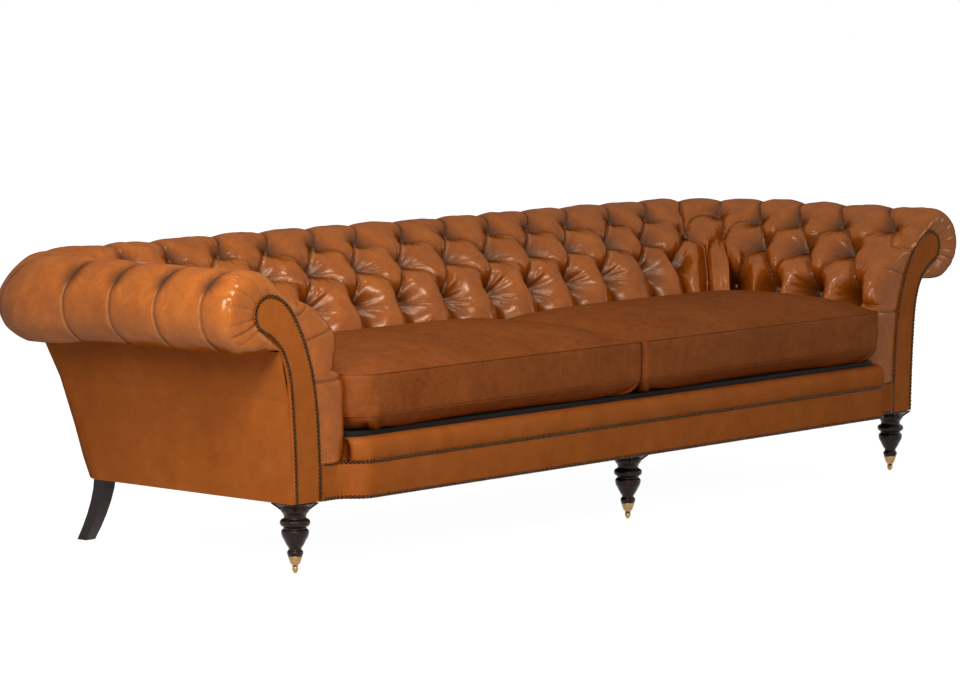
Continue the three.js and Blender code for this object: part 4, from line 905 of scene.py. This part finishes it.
def add_nails():
    head = turned(NAIL_FORM[::-1], 12)
    tilt = np.random.default_rng(5)

    def rows(name, places, replaced):
        parts = []
        for place, axis in places:
            lean = np.array(axis) + tilt.normal(0, 0.06, 3)
            parts.append((stood_on(head[0] * tilt.uniform(0.95, 1.04), np.array(place), lean), head[1]))
        points, faces = joined(parts)
        as_mesh(name, points, faces, "base", NAIL_BRASS, "antique_nails", [replaced])

    for name, side in (("left", -1), ("right", 1)):
        line = spaced(nail_line(), NAIL_PITCH)
        rows(f"{name}_facing_nail_heads", [((side * x, -0.3, z), (0, -1, 0)) for x, z in line],
             f"{name}_facing_nails")
    half = ARM_ROLL_X - ARM_FOOT_INSET - 13
    x = np.linspace(-half, half, 3000)
    run = np.stack([x, seat_front_y(x)], axis=-1)
    for name, height in (("upper", RAIL_TOP + 0.3), ("lower", RAIL_BOTTOM + 4.8)):
        heads = []
        for px, py in spaced(run, NAIL_PITCH):
            sloped = BREAK_END_X < abs(px) < BREAK_START_X
            axis = (math.copysign(0.77, px), -0.64, 0) if sloped else (0, -1, 0)
            heads.append(((px, py - 0.3, height), axis))
        rows(f"{name}_front_nail_heads", heads, f"{name}_front_nails")


LEG_FORM = [
    (0.5, 159), (32, 159), (34.2, 153), (34, 148.5), (29.5, 142), (26.6, 136.5), (26, 132),
    (27.5, 129.5), (31, 127.5), (34, 125), (35.5, 121.5), (35.5, 117.5), (34, 114), (31, 111.5), (28, 109.5),
    (27, 107), (28.5, 104.5), (31.6, 101.5), (32.5, 97), (31.9, 92), (29.8, 86), (26.5, 80), (22.6, 72),
    (18.4, 64.5), (15.4, 60), (14.7, 57.5), (15.6, 55.2), (17.6, 53.2), (18.8, 50.6), (18.8, 46.6),
    (17.8, 43.8), (16.3, 41.6), (14.2, 41.4), (7.4, 24), (0.5, 24),
]
CUP_FORM = [
    (14.7, 41.2), (16.7, 41.2), (17.2, 40.2), (17, 38.6), (16, 37.6), (15.2, 34.5), (13.4, 29), (11.4, 24.4),
    (10, 22.2), (9.2, 21.1), (3.4, 21.1), (3.4, 22.4), (7.6, 22.6), (13.2, 36), (14.7, 41.2),
]


def softened(profile, cuts=3):
    """Rounds a turned profile without moving its members."""
    profile = np.array(profile, float)
    length = lengths_along(profile)
    at = np.concatenate([np.linspace(a, b, cuts, endpoint=False) for a, b in zip(length, length[1:])])
    return through(length, profile, np.append(at, length[-1]))


# Square block over the turning: height and half width
ARRIS = 2.5
BLOCK_FORM = [(148.5, 25), (152, 28), (156, 32), (160, 36), (163, 39), (164.4, 40.5), (165.7, 40.5)]


def leg_block():
    """The square block, with its underside swept in to the turning and its arrises eased."""
    points = []
    for z, half in BLOCK_FORM:
        flat = half - ARRIS
        for sx, sy in ((-1, -1), (1, -1), (1, 1), (-1, 1)):
            a, b = (sx * flat, sy * half, z), (sx * half, sy * flat, z)
            points += [a, b] if sx * sy > 0 else [b, a]
    return np.array(points), ring_faces(len(BLOCK_FORM), 8)


SHARP_ANGLE = math.radians(40)
LEG_PLACES = [("left", -1178, 40), ("centre", 0, 9), ("right", 1178, 40)]


def add_legs():
    for name, x, y in LEG_PLACES:
        points, faces = turned(softened(LEG_FORM[1:-1])[::-1], 48)
        block = leg_block()
        whole = joined([(points + (x, y, 0), faces), (block[0] + (x, y, 0), block[1])])
        leg = as_mesh(f"{name}_turned_leg", *whole, "base", WOOD, "leg_wood", [f"{name}_front_leg"])
        leg.data.set_sharp_from_angle(angle=SHARP_ANGLE)
        points, faces = turned(CUP_FORM[::-1], 40)
        cup = as_mesh(
            f"{name}_brass_cup", points + (x, y, 0), faces, "base", CASTOR_BRASS, "castor_brass",
            [f"{name}_castor_cup"])
        cup.data.set_sharp_from_angle(angle=SHARP_ANGLE)


def dress_nodes():
    """Finishes of the frame's own nodes that stay."""
    looks = {
        "facing": SMOOTH, "outside": SMOOTH, "rear_leg": WOOD,
        "fork": CASTOR_BRASS, "axle": CASTOR_BRASS, "wheel": CASTOR_BRASS, "spring": STEEL,
        "seat_deck": DECK_CLOTH, "dust_cover": DUST_CLOTH,
    }
    for name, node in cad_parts.items():
        look = next((finish for key, finish in looks.items() if key in name), TIMBER)
        for slot in node.material_slots:
            slot.material = look


CUSHION_LENGTH = 1050
CUSHION_GAP = 3
CUSHION_FRONT = -44
CUSHION_BACK = 536.7
CUSHION_GRID = (88, 48)
# How strongly the cushion's rows and columns crowd towards its edges
CROWDING = 1.3
DECK_TOP = 318.4
CUSHION_CROWN = 46
SWELL_CAP = 24
CORNER_DRAW = 28
EDGE_DRAW = 6
SPLIT_DIP = 7
# The belly under the front edge hangs over the seat lip, below this height
BELLY_SAG = 9
BELLY_TOP = 352
WELT_RADIUS = 1.1
# Heights of the layers of a cushion's side and how far each lies inside the edge; seams run along the
# fifth and the last
CUSHION_LAYERS = [
    (320, 44), (321.5, 24), (328, 10), (341, 2.5), (357, 0), (376, 0), (396, 0), (416, 0), (436, 0),
    (455.3, 0),
]
LOWER_SEAM = 4
# Radius of each corner, whether it is outer (1) or at the split (-1), and back (1) or front (-1)
CUSHION_CORNERS = [(55, 1, 1), (16, -1, 1), (44, 1, -1), (20, -1, -1)]


def cushion_form(side):
    """Structured closed box of a cushion, its seam loops, and where each point lies in it."""
    (columns, rows), layers = CUSHION_GRID, len(CUSHION_LAYERS)
    u, w = (np.sin(np.linspace(-1, 1, count + 1) * CROWDING) / math.sin(CROWDING) for count in CUSHION_GRID)
    index, points = {}, []
    for k in range(layers):
        for i, a in enumerate(u):
            for j, b in enumerate(w):
                if k in (0, layers - 1) or i in (0, columns) or j in (0, rows):
                    index[i, j, k] = len(points)
                    points.append((a, b, k))
    faces = []

    def add_face(corners, turned_over):
        face = tuple(index[corner] for corner in corners)
        faces.append(face[::-1] if turned_over else face)

    for i in range(columns):
        for j in range(rows):
            for k in (0, layers - 1):
                add_face(((i, j, k), (i + 1, j, k), (i + 1, j + 1, k), (i, j + 1, k)), not k)
    for k in range(layers - 1):
        for i in range(columns):
            for j in (0, rows):
                add_face(((i, j, k), (i + 1, j, k), (i + 1, j, k + 1), (i, j, k + 1)), j)
        for j in range(rows):
            for i in (0, columns):
                add_face(((i, j, k), (i, j + 1, k), (i, j + 1, k + 1), (i, j, k + 1)), not i)
    share = np.array(points, float)
    round_trip = [(i, 0) for i in range(columns)] + [(columns, j) for j in range(rows)]
    round_trip += [(i, rows) for i in range(columns, 0, -1)] + [(0, j) for j in range(rows, 0, -1)]
    loops = [[index[i, j, k] for i, j in round_trip] for k in (LOWER_SEAM, layers - 1)]
    layer = share[:, 2].astype(int)
    height, inset = np.array(CUSHION_LAYERS)[layer].T
    half = np.array([CUSHION_LENGTH / 2, (CUSHION_BACK - CUSHION_FRONT) / 2])
    x, y = share[:, 0] * (half[0] - inset), share[:, 1] * (half[1] - inset)
    for radius, sx, sy in CUSHION_CORNERS:
        sx = sx * side
        flat_x, flat_y = half[0] - inset - radius, half[1] - inset - radius
        a, b = (sx * x - flat_x) / radius, (sy * y - flat_y) / radius
        inside = (a > 0) & (b > 0)
        shrink = np.where(inside, np.maximum(a, b) / np.maximum(np.hypot(a, b), 1e-9), 1)
        x = np.where(inside, sx * (flat_x + a * shrink * radius), x)
        y = np.where(inside, sy * (flat_y + b * shrink * radius), y)
    draw_in = EDGE_DRAW * (1 - share[:, 0]**2)
    y = y - np.sign(share[:, 1]) * draw_in * np.abs(share[:, 1])**3
    middle = np.array([side * (CUSHION_LENGTH + CUSHION_GAP) / 2, (CUSHION_FRONT + CUSHION_BACK) / 2, 0])
    share[:, 2] = np.where(layer == 0, -1, np.where(layer == layers - 1, 1, 0))
    return np.stack([x, y, height], axis=-1) + middle, faces, loops, share, middle


def boxing_folds(points, share, side):
    """Upright creases in the front boxing, deepest at the outer front corner."""
    x, z = points[:, 0], points[:, 2]
    front = smooth((-share[:, 1] - 0.96) / 0.04) * hump(z, 340, 360, 440, 455)
    outer = smooth((side * share[:, 0] - 0.9) / 0.08)
    folds = drift(x, z, 26, 21) * 1.1 + drift(x, z * 0.15, 11, 22) * 0.8
    return front * (folds + outer * drift(x, z * 0.3, 9, 23) * 3.5)


FILLING = {
    "use_pressure": True, "uniform_pressure_force": 4, "quality": 6, "mass": 0.35, "tension_stiffness": 30,
    "compression_stiffness": 30, "shear_stiffness": 12, "bending_stiffness": 3, "vertex_group_mass": "seams",
}
LAST_FRAME = 20


def filled(points, faces, loops):
    """The cushion's cover blown up by its filling, with the seams held."""
    mesh = bpy.data.meshes.new("cushion_cover")
    mesh.from_pydata((points / 1000).tolist(), [], faces)
    cover = bpy.data.objects.new("cushion_cover", mesh)
    bpy.context.scene.collection.objects.link(cover)
    held = cover.vertex_groups.new(name="seams")
    held.add([i for loop in loops for i in loop], 1.0, "REPLACE")
    cloth = cover.modifiers.new("filling", "CLOTH")
    for name, value in FILLING.items():
        setattr(cloth.settings, name, value)
    cloth.settings.effector_weights.gravity = 0
    cloth.collision_settings.use_collision = False
    cloth.point_cache.frame_start = 1
    cloth.point_cache.frame_end = LAST_FRAME
    scene = bpy.context.scene
    for number in range(1, LAST_FRAME + 1):
        scene.frame_set(number)
        bpy.context.view_layer.update()
    evaluated = cover.evaluated_get(bpy.context.evaluated_depsgraph_get())
    shaped = evaluated.to_mesh()
    result = np.empty(len(shaped.vertices) * 3)
    shaped.vertices.foreach_get("co", result)
    result = result.reshape(-1, 3) * 1000
    evaluated.to_mesh_clear()
    bpy.data.objects.remove(cover)
    bpy.data.meshes.remove(mesh)
    scene.frame_set(1)
    return result


def tube_along(points, radius, sides=8):
    """A closed welt along a loop of points."""
    points = np.asarray(points, float)
    ahead = np.roll(points, -1, axis=0) - np.roll(points, 1, axis=0)
    ahead /= np.linalg.norm(ahead, axis=1)[:, None]
    across = np.cross(ahead, (0, 0, 1))
    across /= np.linalg.norm(across, axis=1)[:, None]
    rise = np.cross(across, ahead)
    turns = np.arange(sides) / sides * 2 * math.pi
    rings = [points + radius * (math.cos(a) * across + math.sin(a) * rise) for a in turns]
    grid = np.stack(rings, axis=1).reshape(-1, 3)
    count = len(points)
    faces = []
    for i in range(count):
        for j in range(sides):
            k, n = (j + 1) % sides, (i + 1) % count
            faces.append((i * sides + j, n * sides + j, n * sides + k, i * sides + k))
    return grid, faces


def cushion_cover(side):
    """A filled cushion: its points, faces, seam loops and middle."""
    points, faces, loops, share, middle = cushion_form(side)
    across, back, top = share[:, 0], share[:, 1], share[:, 2] > 0
    outward = side * across
    crown = (1 - np.abs(across)**7) * (1 - np.abs(back)**4)
    points[:, 2] += np.where(top, CUSHION_CROWN * crown, 0)
    near_front = 1 - smooth((back + 1) / 0.3)
    points[:, 0] -= side * CORNER_DRAW * near_front * smooth((outward - 0.5) / 0.5)
    swelled = filled(points, faces, loops)
    moved = swelled - points
    reach = np.linalg.norm(moved, axis=1)
    points = points + moved * (SWELL_CAP * np.tanh(reach / SWELL_CAP) / np.maximum(reach, 1e-9))[:, None]
    split = smooth((0.94 + outward) * -8 + 1) * top
    points[:, 2] -= split * SPLIT_DIP * (1 - np.abs(back)**6)
    points[:, 1] += boxing_folds(points, share, side)
    height = points[:, 2]
    sag = BELLY_SAG * (1 - np.abs(across)**6) * smooth((6 - points[:, 1]) / 22) * (height < BELLY_TOP)
    points[:, 2] = np.maximum(height, DECK_TOP) - sag * smooth((BELLY_TOP - height) / 24)
    return points, faces, loops, middle


def add_cushions():
    for name, side in (("left", -1), ("right", 1)):
        points, faces, loops, middle = cushion_cover(side)
        piece = as_mesh(
            f"{name}_cushion", points, faces, f"{name}_cushion", CUSHION, "cushion_leather",
            [f"{name}_seat_cushion"])
        fine = piece.modifiers.new("fine", "SUBSURF")
        fine.levels = fine.render_levels = 1
        for place, loop in zip(("lower", "upper"), loops):
            line = points[loop]
            out = line - middle
            out[:, 2] = 0
            out /= np.linalg.norm(out, axis=1)[:, None]
            welt = tube_along(line + out * 0.3, WELT_RADIUS)
            as_mesh(f"{name}_cushion_{place}_seam", *welt, f"{name}_cushion", CUSHION, "cushion_leather")


FLOOR_REACH = 30
FLOOR_GREY = (0.4, 0.4, 0.4, 1)
FLOOR_GLOW = 0.96
WHITE = (1, 1, 1, 1)
SKY_LIGHT = 0.28
# Name, place and aim in metres, width, height and power of each lamp
LAMPS = [
    ("key_lamp", (-2.5, -1.9, 2.1), (-1.1, 0.0, 0.4), 0.8, 0.6, 31),
    ("side_lamp", (-2.6, -0.9, 1.2), (-1.3, -0.2, 0.4), 0.5, 0.5, 11),
    ("window_lamp", (3.4, -2.4, 1.2), (0.5, 0.2, 0.5), 0.3, 0.6, 6),
    ("top_lamp", (-1.3, 0.1, 3.0), (-0.2, 0.2, 0.6), 0.25, 0.3, 9),
    ("front_lamp", (-2.7, -3.6, 1.0), (0.1, 0.2, 0.5), 0.25, 0.4, 9),
]
CAMERA_PLACE = (-7.7705, -6.7872, 1.4899)
CAMERA_DIP = 5.883
CAMERA_TURN = -48.585


def add_floor():
    """A pale floor that keeps the sofa's shadow and fades into the white surroundings."""
    corners = [(x * FLOOR_REACH, y * FLOOR_REACH, 0) for x, y in ((-1, -1), (1, -1), (1, 1), (-1, 1))]
    mesh = bpy.data.meshes.new("studio_floor")
    mesh.from_pydata(corners, [], [(0, 1, 2, 3)])
    floor = bpy.data.objects.new("studio_floor", mesh)
    bpy.context.scene.collection.objects.link(floor)
    paint = Finish("studio_floor_paint")
    matt = paint.node("ShaderNodeBsdfDiffuse", None, {"Color": FLOOR_GREY})
    glow = paint.node("ShaderNodeEmission", None, {"Color": WHITE, "Strength": paint.seen() * FLOOR_GLOW})
    both = paint.node("ShaderNodeAddShader", None, (matt, glow))
    paint.node("ShaderNodeOutputMaterial", None, {"Surface": both})
    mesh.materials.append(paint.holder)


def add_studio():
    """White surroundings, lamps and the camera."""
    scene = bpy.context.scene
    scene.world = bpy.data.worlds.new("studio")
    air = Finish("studio", scene.world)
    strength = SKY_LIGHT + air.seen() * (1 - SKY_LIGHT)
    light = air.node("ShaderNodeBackground", None, {"Color": WHITE, "Strength": strength})
    air.node("ShaderNodeOutputWorld", None, {"Surface": light})
    for name, place, aim, width, height, power in LAMPS:
        data = bpy.data.lights.new(name, "AREA")
        data.shape = "RECTANGLE"
        data.size, data.size_y, data.energy = width, height, power
        lamp = bpy.data.objects.new(name, data)
        scene.collection.objects.link(lamp)
        lamp.location = place
        lamp.rotation_euler = (Vector(aim) - Vector(place)).to_track_quat("-Z", "Y").to_euler()
    lens = bpy.data.cameras.new("camera")
    lens.lens = 150
    lens.sensor_width = 36
    lens.clip_end = 200
    camera = bpy.data.objects.new("camera", lens)
    scene.collection.objects.link(camera)
    camera.location = CAMERA_PLACE
    camera.rotation_euler = (math.radians(90 - CAMERA_DIP), 0, math.radians(CAMERA_TURN))
    scene.camera = camera
    scene.view_settings.view_transform = "Standard"


dress_nodes()
add_padding()
add_buttons()
add_seat_front()
add_nails()
add_legs()
add_cushions()
add_floor()
add_studio()
